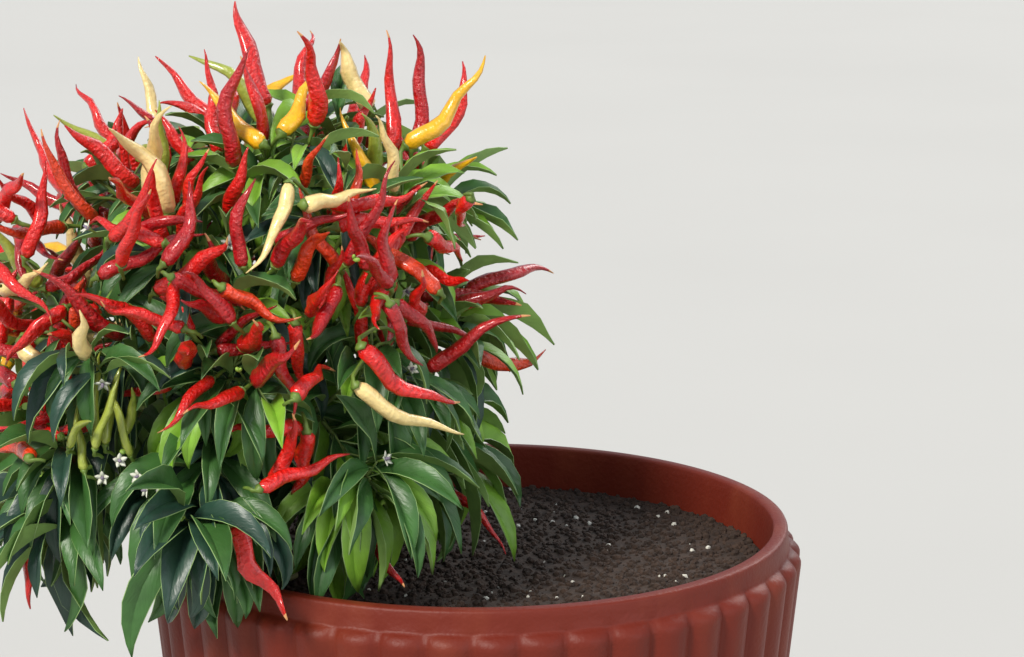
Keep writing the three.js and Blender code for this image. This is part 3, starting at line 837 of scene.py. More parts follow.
def more_fruits(own, crowd):
    """Further fruits on a mass's stem and twigs."""
    look, sizes = TIERS[own.tier], MORE_FRUIT_SIZE
    axes = [own.stem, *own.twigs]
    for j in range(MORE_FRUIT[own.tier]):
        axis = axes[j % len(axes)]
        for attempt in range(TRIES["fruit"]):
            keys = (own.index, 60, j, attempt)
            joint = axis.point(sizes["first"] + (1 - sizes["first"]) * chance(*keys, 10))
            stray = stray_vector(*keys) * sizes["stray"]
            way = unit(stray + UP * look["lift"] + own.out * look["spread"])
            root = joint + way * between(sizes["stalk"], *keys, 11)
            turn, length = between(FRUIT["turn"], *keys, 9), between(sizes["length"], *keys, 7)
            arc = Arc(root, way, stray_vector(*keys, 12), turn, length)
            fruit = Fruit(arc, between(sizes["radius"], *keys, 8), joint, ripeness_of(*keys), keys)
            if crowd.fruit_fits(fruit, own):
                crowd.add_fruit(fruit)
                break


def jumble_ripeness(ripeness, *keys):
    draw = chance(*keys, 51)
    if ripeness == "red":
        return "crimson" if draw < 0.4 else "scarlet" if draw < 0.9 else "orange"
    if ripeness == "golden":
        return "golden" if draw < 0.5 else "cream" if draw < 0.7 else "scarlet"
    return ripeness_of(*keys) if ripeness == "mixed" else ripeness


def all_jumbles():
    far = FAR_JUMBLE
    middles = [from_crown(azimuth, elevation, far["distance"]) for azimuth, elevation in FAR_JUMBLES]
    return [*JUMBLES, *((middle, far["reach"], far["count"], "mixed", far["lift"]) for middle in middles)]


def grow_jumbles(crowd):
    """Fruits that lie across each other in clusters, each on a stalk from within the crown."""
    for number, (middle, reach, count, ripeness, lift) in enumerate(all_jumbles()):
        middle = np.array(middle, float)
        out = unit((middle - CROWN) * JUMBLE_WAY["flat"])
        sizes = YOUNG_JUMBLE_FRUIT if ripeness == "young" else JUMBLE_FRUIT
        for j in range(count):
            for attempt in range(TRIES["jumble"]):
                keys = (number, 70, j, attempt)
                root = middle + stray_vector(*keys) * reach
                way = unit(stray_vector(*keys, 20) + UP * lift + out * JUMBLE_WAY["out"])
                turn, length = between(JUMBLE_FRUIT["turn"], *keys, 9), between(sizes["length"], *keys, 7)
                radius = between(sizes["radius"], *keys, 8)
                start = root - way * length * JUMBLE_WAY["behind"]
                arc = Arc(start, way, stray_vector(*keys, 12), turn, length)
                joint = start - way * JUMBLE_WAY["stalk_back"] - out * JUMBLE_WAY["stalk_in"]
                fruit = Fruit(arc, radius, joint, jumble_ripeness(ripeness, *keys), keys)
                if crowd.fruit_fits(fruit, None):
                    crowd.add_fruit(fruit)
                    break


def more_leaves(axis, count, own, number, crowd, size, first_share):
    """Further leaves along a stem, twig or bough from a share of its length on."""
    for j in range(count):
        share = first_share + (LAST_LEAF - first_share) * (j + 0.5) / count
        for attempt in range(TRIES["mass"]):
            keys = (own.index, 100 + number, j, attempt)
            stray = MORE_DROOP["stray"] * (attempt + 1)
            leaf = leaf_at(axis, share, j + number + 0.5, own, keys, size, stray, MORE_DROOP["droop"])
            if crowd.leaf_fits(leaf, own, MORE_LEAVES["room"]):
                crowd.add_leaf(leaf)
                own.leaves.append(leaf)
                break


def grow_finer(own, crowd):
    """Finer twigs on a mass's stem and twigs, with leaves on all of them."""
    size = TIERS[own.tier]["leaf"] * MORE_LEAVES["size"]
    axes = [own.stem, *own.twigs]
    for number, axis in enumerate(axes):
        for t in range(FINE_TWIGS["per_axis"]):
            share = FINE_TWIGS["first"] + FINE_TWIGS["span"] * (t + 0.5) / FINE_TWIGS["per_axis"]
            degrees = GOLDEN_ANGLE * (t + number + own.index) + FINE_TWIGS["turn"]
            length = between(FINE_TWIG["length"], own.index, 90 + number, t)
            own.fine_twigs.append(twig_from(axis, share, degrees, FINE_TWIG, length, 2))
    for number, axis in enumerate(axes):
        count = MORE_LEAVES["on_twig"] if number else MORE_LEAVES["on_stem"]
        more_leaves(axis, count, own, number, crowd, size, MORE_FROM["axis"])
    count, size = MORE_LEAVES["on_fine_twig"], size * FINE_TWIG_LEAF
    for number, axis in enumerate(own.fine_twigs):
        more_leaves(axis, count, own, 20 + number, crowd, size, MORE_FROM["fine_twig"])


def limb_leaves(limbs, shoots, crowd):
    """Leaves along the boughs, inside the crown."""
    count = MORE_LEAVES["on_limb"]
    for number, limb in enumerate(limbs):
        own = min(shoots, key=lambda shoot: np.linalg.norm(shoot.heart - limb.end))
        more_leaves(limb, count, own, 50 + number, crowd, TIERS[own.tier]["leaf"], MORE_FROM["limb"])


@lru_cache(maxsize=1)
def grown_plant():
    """All limbs, shoots and fruits of the plant."""
    stem, leader, primaries, risers, laterals = grow_limbs()
    shoots = place_shoots(leader, risers, laterals)
    standouts = place_standouts(shoots)
    limbs = [stem, leader, *primaries, *risers, *laterals]
    for own in shoots:
        grow_mass(own, shoots, limbs, standouts)
    crowd = Crowd(shoots, limbs, standouts)
    grow_jumbles(crowd)
    for own in shoots:
        more_fruits(own, crowd)
    crowd.thin_leaves(shoots)
    for own in shoots:
        grow_finer(own, crowd)
    limb_leaves([leader, *risers, *laterals], shoots, crowd)
    return {"limbs": limbs, "shoots": shoots, "fruits": crowd.fruits}


# Meshes from arrays of closed lofts.
class Skin:
    """Points, faces, finishes and pattern places that are gathered into one piece."""

    def __init__(self):
        self.points = []
        self.places = []
        self.quads = []
        self.triangles = []
        self.quad_looks = []
        self.triangle_looks = []
        self.count = 0

    def add(self, rings, looks, places=None, under=()):
        """Closed lofts, all alike: rings are lofts x stations x corners, looks one for each quad.

        The quads at the corners under are divided the other way, as the ones that they lie under.
        """
        lofts, stations, corners = rings.shape[:3]
        first = self.count + np.arange(lofts)[:, None, None] * stations * corners
        row = np.arange(stations - 1)[None, :, None] * corners
        corner = np.arange(corners)
        here = first + row + corner
        following = first + row + (corner + 1) % corners
        quads = np.stack([here, following, following + corners, here + corners], -1)
        for across in under:
            quads[:, :, across] = np.roll(quads[:, :, across], -1, -1)
        fan = corner[1:-1]
        start = np.stack([first[:, 0] + 0 * fan, first[:, 0] + fan + 1, first[:, 0] + fan], -1)
        last = first[:, 0] + (stations - 1) * corners
        end = np.stack([last + 0 * fan, last + fan, last + fan + 1], -1)
        looks = np.broadcast_to(looks, (lofts, stations - 1, corners))
        self.points.append(rings.reshape(-1, 3))
        self.places.append((rings if places is None else places).reshape(-1, 3))
        self.quads.append(quads.reshape(-1, 4))
        self.quad_looks.append(looks.reshape(-1))
        for caps, edge in ((start, 0), (end, -1)):
            self.triangles.append(caps.reshape(-1, 3))
            self.triangle_looks.append(np.repeat(looks[:, edge, 0], len(fan)))
        self.count += lofts * stations * corners

    def write(self, name, materials):
        """The gathered lofts as an object, with their pattern places in an attribute."""
        points = np.concatenate(self.points) * MM
        quads, triangles = np.concatenate(self.quads), np.concatenate(self.triangles)
        sizes = np.concatenate([np.full(len(quads), 4), np.full(len(triangles), 3)])
        mesh = bpy.data.meshes.new(name)
        mesh.vertices.add(len(points))
        mesh.vertices.foreach_set("co", points.astype(np.float32).ravel())
        mesh.loops.add(int(sizes.sum()))
        corners = np.concatenate([quads.ravel(), triangles.ravel()])
        mesh.loops.foreach_set("vertex_index", corners.astype(np.int32))
        mesh.polygons.add(len(sizes))
        starts = np.concatenate([[0], np.cumsum(sizes)[:-1]])
        mesh.polygons.foreach_set("loop_start", starts.astype(np.int32))
        for material in materials:
            mesh.materials.append(material)
        looks = np.concatenate([*self.quad_looks, *self.triangle_looks])
        mesh.polygons.foreach_set("material_index", looks.astype(np.int32))
        mesh.polygons.foreach_set("use_smooth", np.ones(len(sizes), bool))
        store(mesh, "skin_place", "FLOAT_VECTOR", np.concatenate(self.places).astype(np.float32))
        mesh.update(calc_edges=True)
        return show(mesh)


def store(mesh, name, kind, values, domain="POINT"):
    """Keeps an attribute on a mesh."""
    key = "vector" if kind == "FLOAT_VECTOR" else "value"
    mesh.attributes.new(name, kind, domain).data.foreach_set(key, values.ravel())


def crease(mesh, corners, columns):
    """Makes sharp edges of the lines that run along all lofts at some of their corners."""
    ends = np.empty(len(mesh.edges) * 2, np.int32)
    mesh.edges.foreach_get("vertices", ends)
    first, second = (ends % corners).reshape(-1, 2).T
    store(mesh, "sharp_edge", "BOOLEAN", (first == second) & np.isin(first, columns), "EDGE")


def show(data):
    """A new object in the scene with a mesh, light or camera."""
    made = bpy.data.objects.new(data.name, data)
    bpy.context.scene.collection.objects.link(made)
    return made


def ride_root(piece, replaced=()):
    """Puts a finished piece on the plant's one body."""
    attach(piece, "root")
    if replaced:
        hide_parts(*replaced)


# Materials.
def add_node(tree, kind, values=(), **settings):
    made = tree.nodes.new(kind)
    for key, value in settings.items():
        setattr(made, key, value)
    for key, value in dict(values).items():
        made.inputs[key].default_value = value
    return made


def plain_material(name, colour, roughness, sockets=()):
    """A material whose plain numbers are set on the shader's own sockets."""
    material = bpy.data.materials.new(name)
    material.use_nodes = True
    shader = material.node_tree.nodes["Principled BSDF"]
    shader.inputs["Base Color"].default_value = (*colour, 1)
    shader.inputs["Roughness"].default_value = roughness
    for key, value in dict(sockets).items():
        shader.inputs[key].default_value = value
    return material


def add_noise(tree, scale, detail, attribute=None, stretch=(1, 1, 1)):
    """A noise pattern in the object's own space or along an attribute."""
    mapping = add_node(tree, "ShaderNodeMapping", {"Scale": stretch})
    noise = add_node(tree, "ShaderNodeTexNoise", {"Scale": scale, "Detail": detail})
    if attribute:
        place = add_node(tree, "ShaderNodeAttribute", attribute_name=attribute).outputs["Vector"]
    else:
        place = add_node(tree, "ShaderNodeTexCoord").outputs["Object"]
    tree.links.new(place, mapping.inputs["Vector"])
    tree.links.new(mapping.outputs["Vector"], noise.inputs["Vector"])
    return noise.outputs["Fac"]


def mottle(material, colour, scale, low=0.4, high=0.65, detail=3, **where):
    """Mixes a second colour into the base colour in soft patches."""
    tree = material.node_tree
    ranged = add_node(tree, "ShaderNodeMapRange", {"From Min": low, "From Max": high})
    mix = add_node(tree, "ShaderNodeMix", data_type="RGBA")
    base = tree.nodes["Principled BSDF"].inputs["Base Color"]
    mix.inputs[6].default_value = base.default_value
    mix.inputs[7].default_value = (*colour, 1)
    tree.links.new(add_noise(tree, scale, detail, **where), ranged.inputs["Value"])
    tree.links.new(ranged.outputs["Result"], mix.inputs["Factor"])
    tree.links.new(mix.outputs[2], base)


def relief(material, scale, height, detail=3, **where):
    """A fine relief, of a height in millimetres."""
    tree = material.node_tree
    bump = add_node(tree, "ShaderNodeBump", {"Strength": 1, "Distance": height * MM})
    tree.links.new(add_noise(tree, scale, detail, **where), bump.inputs["Height"])
    tree.links.new(bump.outputs["Normal"], tree.nodes["Principled BSDF"].inputs["Normal"])


def shaded(colour, amount):
    """A colour lightened by a positive amount or darkened by a negative one."""
    return tuple(min(max(c * (1 + amount), 0), 1) for c in colour)


def mottled_material(name, colour, roughness, amount, scale, sockets=(), **pattern):
    """A material in soft patches of a colour and of the same colour lightened or darkened."""
    material = plain_material(name, colour, roughness, sockets)
    mottle(material, shaded(colour, amount), scale, **pattern)
    return material


def leaf_materials(leaf):
    """Blade colours by age and by painted light at the top and right, then the margin's painted highlight
    and the underside.
    """
    made = []
    blades = (("old", leaf.dark, 0.36), ("grown", leaf.middle, 0.4), ("young", leaf.fresh, 0.44))
    for age, colour, roughness in blades:
        blade = mottled_material(f"leaf_{age}", colour, roughness, 0.4, 60)
        relief(blade, 14, 0.3, attribute="skin_place", stretch=(1, 0.5, 1))
        made.append(blade)
    # The margin strips are painted with a pale highlight, for the leaf edge that catches the light.
    made.append(mottled_material("leaf_margin", leaf.margin, 0.45, -0.25, 120))
    underside = mottled_material("leaf_underside", leaf.underside, 0.6, -0.3, 60)
    relief(underside, 9, 0.3, attribute="skin_place", stretch=(1, 0.35, 1))
    return [*made, underside]


def fruit_materials(fruit):
    """One glossy skin for each ripeness, then the dry tip."""
    made = []
    gloss = {"Coat Weight": 0.6, "Coat Roughness": 0.13}
    for ripeness in RIPENESSES:
        red = ripeness in RED
        colour, amount = getattr(fruit, ripeness), -0.25 if red else -0.2
        name = f"fruit_{ripeness}"
        skin = mottled_material(name, colour, 0.3, amount, 0.9, gloss, attribute="skin_place")
        relief(skin, 2.4, 2 if red else 0.7, attribute="skin_place", stretch=(0.5, 0.5, 1.2))
        made.append(skin)
    dry = plain_material("fruit_dry", fruit.dry, 0.55)
    relief(dry, 3, 0.5, attribute="skin_place")
    return [*made, dry]


# Leaves.
def leaf_outline(share):
    """A leaf's half width along it, from 0 to 1: a thin petiole, then a lance-shaped blade."""
    blade = np.clip((share - PETIOLE_SHARE) / (1 - PETIOLE_SHARE), 0, 1)
    shape = blade**0.75 * (1 - blade) ** 1.05
    return shape / (0.42**0.75 * 0.58**1.05)


def leaf_rings(leaves, settings):
    """The rings of corners along all leaves at once."""
    centre, heading, axis, turn, length = along_arcs([leaf.arc for leaf in leaves], LEAF_STATIONS)
    draws = np.array([[chance(i, 300, k) for k in range(5)] for i in range(len(leaves))])[:, :, None]
    along = LEAF_STATIONS - BLADE_MIDDLE
    face = turned(np.array([leaf.face for leaf in leaves])[:, None] + 0 * heading, axis, turn * along)
    face = turned(face, heading, (draws[:, 0] - 0.5) * BLADE["twist"] * along)
    lateral = np.cross(face, heading)
    width = settings.width * (0.88 + 0.3 * draws[:, 1])
    half = np.maximum(leaf_outline(LEAF_STATIONS) * length * width / 2, PETIOLE_HALF)
    half[:, -1] = TIP_HALF
    fold = settings.fold * (0.5 + draws[:, 2])
    thick = settings.thickness / MM

    def corners(v, below):
        size = half[..., None]
        phase = BLADE["waves"] * LEAF_STATIONS[None, :, None] + draws[:, 3:4] + 0.3 * (v > 0)
        ripple = np.sin(2 * np.pi * phase)
        rise = size * fold[..., None] * np.abs(v)
        rise = rise + ripple * np.abs(v) * size * BLADE["ripple"] * draws[:, 4:5] - below
        aside = lateral[:, :, None] * (v * size)[..., None]
        return centre[:, :, None] + aside + face[:, :, None] * rise[..., None]

    top = corners(LEAF_TOP, thick * (np.abs(LEAF_TOP) == 1))
    rings = np.concatenate([top, corners(LEAF_UNDER, thick * KEEL)], 2)
    across = np.concatenate([LEAF_TOP, LEAF_UNDER])
    places = np.empty(rings.shape)
    places[..., 0] = LEAF_STATIONS[None, :, None] * 1.6 - np.abs(across) * 0.35
    places[..., 1] = across * 0.5
    places[..., 2] = np.arange(len(leaves))[:, None, None] * 0.37
    return rings, places


def leaf_looks(leaves):
    """The finish of each quad round a leaf, by its spray and its age, which is raised at the top and right
    as painted light.
    """
    margin, underside = 3, 4
    looks = np.empty((len(leaves), 1, len(LEAF_TOP) + len(LEAF_UNDER)), int)
    for row, leaf in zip(looks, leaves):
        # The draw holds painted light: it is higher for leaves at the top and right.
        draw = leaf.age + 0.6 * chance(leaf.spray, 310)
        row[:] = 0 if draw < OLD_LIMIT else 1 if draw < GROWN_LIMIT else 2
    # The margin strips carry the painted highlight.
    looks[..., [0, 3]] = margin
    looks[..., 4:] = underside
    return looks


class CHILLI_OT_leaves(bpy.types.Operator):
    """Leaves of the upper and the lower crown, which stand for the masses of foliage"""

    bl_idname = "chilli.leaves"
    bl_label = "Leaves"

    def execute(self, context):
        settings = context.scene.chilli_plant.leaf
        materials = leaf_materials(settings)
        for name, tiers in (("leaves_upper", ("top", "upper")), ("leaves_lower", ("middle", "lower"))):
            shoots = [shoot for shoot in grown_plant()["shoots"] if shoot.tier in tiers]
            leaves = [leaf for shoot in shoots for leaf in shoot.leaves]
            rings, places = leaf_rings(leaves, settings)
            corners = rings.shape[2]
            skin = Skin()
            skin.add(rings, leaf_looks(leaves), places, under=range(len(LEAF_TOP) - 1, corners))
            piece = skin.write(name, materials)
            crease(piece.data, corners, LEAF_CREASES)
            ride_root(piece, [shoot.name for shoot in shoots])
        return {"FINISHED"}


# Tubes for limbs, twigs and stalks.
def tube_rings(points, radii, sides, ripple=None):
    """Rings round a line, with a ripple of the radius by angle and station."""
    ahead = np.concatenate([points[1:], points[-1:]])
    behind = np.concatenate([points[:1], points[:-1]])
    angles = round_angles(sides)
    rings = np.empty((len(points), sides, 3))
    across = np.array([0.31, 0.87, 0.39])
    for i, heading in enumerate(unit(ahead - behind)):
        across = square_to(heading, across)
        size = radii[i] * (1 if ripple is None else ripple(angles, i))
        over = np.cross(heading, across)
        around = np.outer(np.cos(angles) * size, across) + np.outer(np.sin(angles) * size, over)
        rings[i] = points[i] + around
    return rings


def bark_ripple(number, depth):
    """Shallow ridges that wander round a limb."""

    def ripple(angles, station):
        ridges = np.sin(5 * angles + 0.35 * station + number)
        ridges = ridges + 0.7 * np.sin(8 * angles - 0.5 * station + 2 * number)
        knots = np.sin(3 * angles + 1.7 * station) * np.sin(1.3 * station + number)
        return 1 + depth * (ridges + 0.8 * knots)

    return ripple


def limb_tube(limb, number):
    """A limb with its taper, a swelling at its foot and ridges in its bark."""
    is_stem = limb.name == "main_stem"
    stations = np.linspace(0, 1, 27 if is_stem else 16)
    if is_stem:
        radii = np.interp(stations, np.linspace(0, 1, len(STEM_RADII)), STEM_RADII)
    else:
        radii = limb.radius(stations) * (1 + 0.18 * np.exp(-((stations / 0.07) ** 2)))
    ripple = bark_ripple(number, 0.035 if is_stem else 0.025)
    return tube_rings(limb.point(stations), radii, 18 if is_stem else 12, ripple)


class CHILLI_OT_limbs(bpy.types.Operator):
    """The stem and boughs, with the relief of their bark"""

    bl_idname = "chilli.limbs"
    bl_label = "Stem and boughs"

    def execute(self, context):
        settings = context.scene.chilli_plant.stem
        wood = plain_material("bark_wood", settings.wood, 0.8)
        mottle(wood, shaded(settings.green, -0.1), 45)
        relief(wood, 260, 0.5, detail=6)
        green = plain_material("bark_green", settings.green, 0.6)
        mottle(green, shaded(settings.wood, -0.1), 60)
        relief(green, 300, 0.3, detail=5)
        skin = Skin()
        limbs = grown_plant()["limbs"]
        for number, limb in enumerate(limbs):
            skin.add(limb_tube(limb, number)[None], 0 if limb.name == "main_stem" else 1)
        piece = skin.write("stem_and_boughs", [wood, green])
        ride_root(piece, [limb.name for limb in limbs])
        return {"FINISHED"}


class CHILLI_OT_twigs(bpy.types.Operator):
    """The green stems and twigs within the foliage"""

    bl_idname = "chilli.twigs"
    bl_label = "Twigs"

    def execute(self, context):
        settings = context.scene.chilli_plant.stem
        green = plain_material("twig_green", shaded(settings.green, 0.1), 0.55)
        mottle(green, shaded(settings.green, -0.4), 80)
        relief(green, 400, 0.2)
        skin = Skin()
        stations = np.linspace(0, 1, 6)
        for shoot in grown_plant()["shoots"]:
            for axis in (shoot.stem, *shoot.twigs, *shoot.fine_twigs):
                radii = axis.radius(stations)
                radii[1:-1] *= 1 + 0.12 * np.sin(9 * stations[1:-1] + shoot.index)
                skin.add(tube_rings(axis.point(stations), radii, 6)[None], 0)
        ride_root(skin.write("twigs", [green]))
        return {"FINISHED"}


# Fruits.
def fruit_profile(share, draw):
    """A fruit's radius along it: a blunt shoulder, a body that tapers, and a short or long tip."""
    shoulder = np.clip(share / 0.07, 0, 1) ** 0.4
    body = 0.25 + 0.35 * draw
    taper = 1 - 0.2 * share - 0.72 * np.clip((share - body) / (1 - body), 0, 1) ** 1.15
    return np.maximum(shoulder * taper, 0.06)


def fruit_frames(fruits, draws):
    """Centres and two crossways directions along all fruits, which wave, sway and hook, and lengths."""
    centre, heading, across, turn, length = along_arcs([fruit.arc for fruit in fruits], FRUIT_STATIONS)
    over = np.cross(heading, across)
    bends = FRUIT_BENDS
    slim = np.array([fruit.radius for fruit in fruits])[:, None] / bends["usual_radius"]
    fade = np.sin(np.pi * FRUIT_STATIONS) * length * slim

    def bend(size, turns, k):
        phase = 2 * np.pi * (turns + draws[:, k]) * FRUIT_STATIONS + 6 * draws[:, k + 1]
        return fade * size * np.sin(phase)

    wave, sway = bend(bends["wave"], 0.8, 0), bend(bends["sway"], 0.9, 2)
    past = np.clip((FRUIT_STATIONS - bends["hook_from"]) / (1 - bends["hook_from"]), 0, 1)
    hook = past**2 * (draws[:, 4] - 0.5) * bends["hook"] * slim
    centre = centre + across * (wave + hook)[..., None] + over * sway[..., None]
    return centre, across, over, length


def fruit_rings(fruits, wrinkle, girth):
    """The rings of corners along all fruits, with their folds and dents."""
    draws = np.array([[chance(*fruit.keys, 80, k) for k in range(8)] for fruit in fruits])[:, :, None]
    centre, across, over, length = fruit_frames(fruits, draws)
    radius = np.array([fruit.radius * girth for fruit in fruits])[:, None, None]
    angles = round_angles(FRUIT_CORNERS)
    share = FRUIT_STATIONS[None, :, None]
    twist = 3 * (draws[:, 5:6] - 0.5) * share
    amount = wrinkle * (0.35 + 1.3 * draws[:, 6:7])
    folds = np.sin(2 * angles + twist + 6 * draws[:, 0:1])
    folds = folds + 0.8 * np.sin(3 * angles - twist + 9 * draws[:, 1:2])
    dents = np.sin(11 * share + 2 * angles + 7 * draws[:, 2:3]) * np.sin(23 * share + 5 * draws[:, 3:4])
    ripple = 1 + amount * (folds * np.clip(share * 5, 0, 1) + 0.7 * dents)
    size = radius * fruit_profile(share, draws[:, 7:8]) * ripple
    rings = centre[:, :, None] + across[:, :, None] * (np.cos(angles) * size)[..., None]
    rings = rings + over[:, :, None] * (np.sin(angles) * size)[..., None]
    places = np.empty(rings.shape)
    places[..., 0] = np.cos(angles) * 1.2
    places[..., 1] = np.sin(angles) * 1.2
    places[..., 2] = share * length[:, :, None] * 0.16 + np.arange(len(fruits))[:, None, None] * 1.7
    return rings, places


def fruit_looks(fruits):
    looks = np.empty((len(fruits), len(FRUIT_STATIONS) - 1, FRUIT_CORNERS), int)
    for row, fruit in zip(looks, fruits):
        row[:] = RIPENESSES.index(fruit.ripeness)
        if fruit.ripeness in RED and chance(*fruit.keys, 81) < DRY_TIPS:
            row[-1:] = len(RIPENESSES)
    return looks


def cup_rings(fruits, girth):
    """The stalk of each fruit and the cup that holds its shoulder, as one closed skin."""
    rings = []
    angles = round_angles(CUP_CORNERS)
    lobes = 0.45 * np.cos(4 * angles)[:, None]
    for fruit in fruits:
        arc, radius = fruit.arc, fruit.radius * girth
        foot = arc.start - arc.heading * 3
        stalk = Limb(fruit.joint, unit(unit(foot - fruit.joint) + UP * 0.4), foot, (0, 0))
        across = np.cross(arc.heading, arc.side)
        spokes = spokes_of(across, np.cross(arc.heading, across), angles)
        stalk_rings = tube_rings(stalk.point(np.linspace(0, 0.94, 4)), STALK_RADII, CUP_CORNERS)
        cup = []
        for along, size, lobed in CUP_PROFILE:
            centre = arc.start + arc.heading * along
            cup.append(centre + spokes * radius * size + arc.heading * lobes * lobed)
        shift = int(np.argmax(spokes @ (stalk_rings[-1][0] - stalk_rings[-1].mean(0))))
        rings.append(np.concatenate([np.roll(stalk_rings, shift, axis=1), cup]))
    return np.array(rings)


class CHILLI_OT_fruits(bpy.types.Operator):
    """The chillies, and the stalks and cups that hold them"""

    bl_idname = "chilli.fruits"
    bl_label = "Fruits"

    def execute(self, context):
        settings = context.scene.chilli_plant.fruit
        fruits = grown_plant()["fruits"]
        rings, places = fruit_rings(fruits, settings.wrinkle, settings.girth)
        skin = Skin()
        skin.add(rings, fruit_looks(fruits), places)
        ride_root(skin.write("chillies", fruit_materials(settings)))
        stalk = mottled_material("fruit_stalk", settings.stalk, 0.5, -0.35, 90)
        relief(stalk, 300, 0.25)
        cups = Skin()
        cups.add(cup_rings(fruits, settings.girth), 0)
        ride_root(cups.write("fruit_stalks", [stalk]))
        return {"FINISHED"}


# Flowers and buds.
def flower_places():
    """Places and directions at the ends of finer twigs and at the front, each with a draw."""
    rows = []
    for shoot in grown_plant()["shoots"]:
        for k, twig in enumerate(shoot.fine_twigs):
            way = unit(twig.tangent(1) + shoot.out * 0.8 + stray_vector(shoot.index, 400, k) * 0.7)
            rows.append((twig.end, way, chance(shoot.index, 401, k)))
    for k, place in enumerate(FRONT_FLOWERS):
        out = unit((place - CROWN) * [1, 1, 0.4])
        for j in range(2):
            way = unit(out + stray_vector(k, 403, j) * 0.9)
            rows.append((place + stray_vector(k, 404, j) * 5, way, chance(k, 405, j)))
    fruits = grown_plant()["fruits"]
    segments = np.concatenate([fruit.segments()[1:] for fruit in fruits])
    sizes = np.repeat([fruit.radius for fruit in fruits], 4) + BLOSSOM_ROOM
    away = gaps(np.array([place + way * BLOSSOM_ROOM for place, way, draw in rows]), segments) - sizes
    return [row for row, clear in zip(rows, away.min(1) > 0) if clear]


def add_flower(skin, place, way, number):
    """Five pointed petals round a small cone of anthers."""
    across = square_to(way, UP)
    centre = place + way * FLOWER_STALK
    open_angle = 0.35 + 0.5 * chance(number, 402)
    for p in range(PETALS):
        out = turned(across, way, 2 * np.pi * p / PETALS)
        reach = unit(out * math.cos(open_angle) + way * math.sin(open_angle))
        wide = np.cross(way, out)
        thick = np.cross(reach, wide) * PETAL_THICKNESS
        rings = []
        for along, half in PETAL_PROFILE:
            middle = centre + reach * along - way * PETAL_DROOP * along**2
            rings.append([middle + wide * half, middle + thick, middle - wide * half, middle - thick])
        skin.add(np.array(rings)[None], 0)
    cone = np.array([centre + way * along for along, radius in CONE_PROFILE])
    radii = [radius for along, radius in CONE_PROFILE]
    skin.add(tube_rings(cone, radii, 6)[None], np.array([[2], [2], [1]]))


class CHILLI_OT_flowers(bpy.types.Operator):
    """Small white flowers among the leaves"""

    bl_idname = "chilli.flowers"
    bl_label = "Flowers"

    def execute(self, context):
        settings = context.scene.chilli_plant
        materials = [
            mottled_material("petal", settings.stem.petal, 0.5, -0.18, 300),
            mottled_material("anther", settings.stem.anther, 0.7, 0.4, 900),
            mottled_material("flower_stalk", settings.fruit.stalk, 0.55, 0.3, 200),
        ]
        skin = Skin()
        for number, (place, way, draw) in enumerate(flower_places()):
            if draw < FLOWER_SHARE:
                add_flower(skin, place, way, number)
        ride_root(skin.write("flowers", materials))
        return {"FINISHED"}


# Geometry Nodes.
class Tree:
    """A Geometry Nodes tree with named inputs, and the modifier that runs it."""

    def __init__(self, name):
        self.group = bpy.data.node_groups.new(name, "GeometryNodeTree")
        for way in ("INPUT", "OUTPUT"):
            self.group.interface.new_socket("Geometry", in_out=way, socket_type="NodeSocketGeometry")
        self.source = self.group.nodes.new("NodeGroupInput")
        self.values = {}

    def size(self, name, kind, value):
        """A named input and its value."""
        socket = self.group.interface.new_socket(name, in_out="INPUT", socket_type=f"NodeSocket{kind}")
        self.values[socket.identifier] = value
        return self.source.outputs[name]

    def add(self, kind, links=(), **settings):
        """A node whose inputs are given by name or number, as a link from a socket or a plain value."""
        made = self.group.nodes.new(kind)
        for key, value in settings.items():
            setattr(made, key, value)
        for key, value in dict(links).items():
            if isinstance(value, bpy.types.NodeSocket):
                self.group.links.new(value, made.inputs[key])
            else:
                made.inputs[key].default_value = value
        return made

    def first(self, kind, links=(), **settings):
        """The first output of a new node."""
        return self.add(kind, links, **settings).outputs[0]

    def math(self, operation, first, second=0.0):
        return self.first("ShaderNodeMath", {0: first, 1: second}, operation=operation)

    def random(self, least, most, seed):
        links = {2: least, 3: most, "Seed": seed}
        return self.add("FunctionNodeRandomValue", links, data_type="FLOAT").outputs[1]

    def end(self, geometry, material):
        """Realizes what the tree made, and gives it its material."""
        looks = self.size("Material", "Material", material)
        realized = self.first("GeometryNodeRealizeInstances", {"Geometry": geometry})
        painted = self.first("GeometryNodeSetMaterial", {"Geometry": realized, "Material": looks})
        target = self.group.nodes.new("NodeGroupOutput")
        self.group.links.new(painted, target.inputs[0])

    def run(self, piece, name):
        """Runs the tree on a piece and makes the result its plain mesh."""
        modifier = piece.modifiers.new(self.group.name, "NODES")
        modifier.node_group = self.group
        for identifier, value in self.values.items():
            modifier[identifier] = value
        return settled(piece, name)


def settled(piece, name):
    """The piece with its modifiers' result as its plain mesh."""
    evaluated = piece.evaluated_get(bpy.context.evaluated_depsgraph_get())
    mesh = bpy.data.meshes.new_from_object(evaluated)
    mesh.name = name
    piece.modifiers.clear()
    piece.data = mesh
    piece.name = name
    return piece


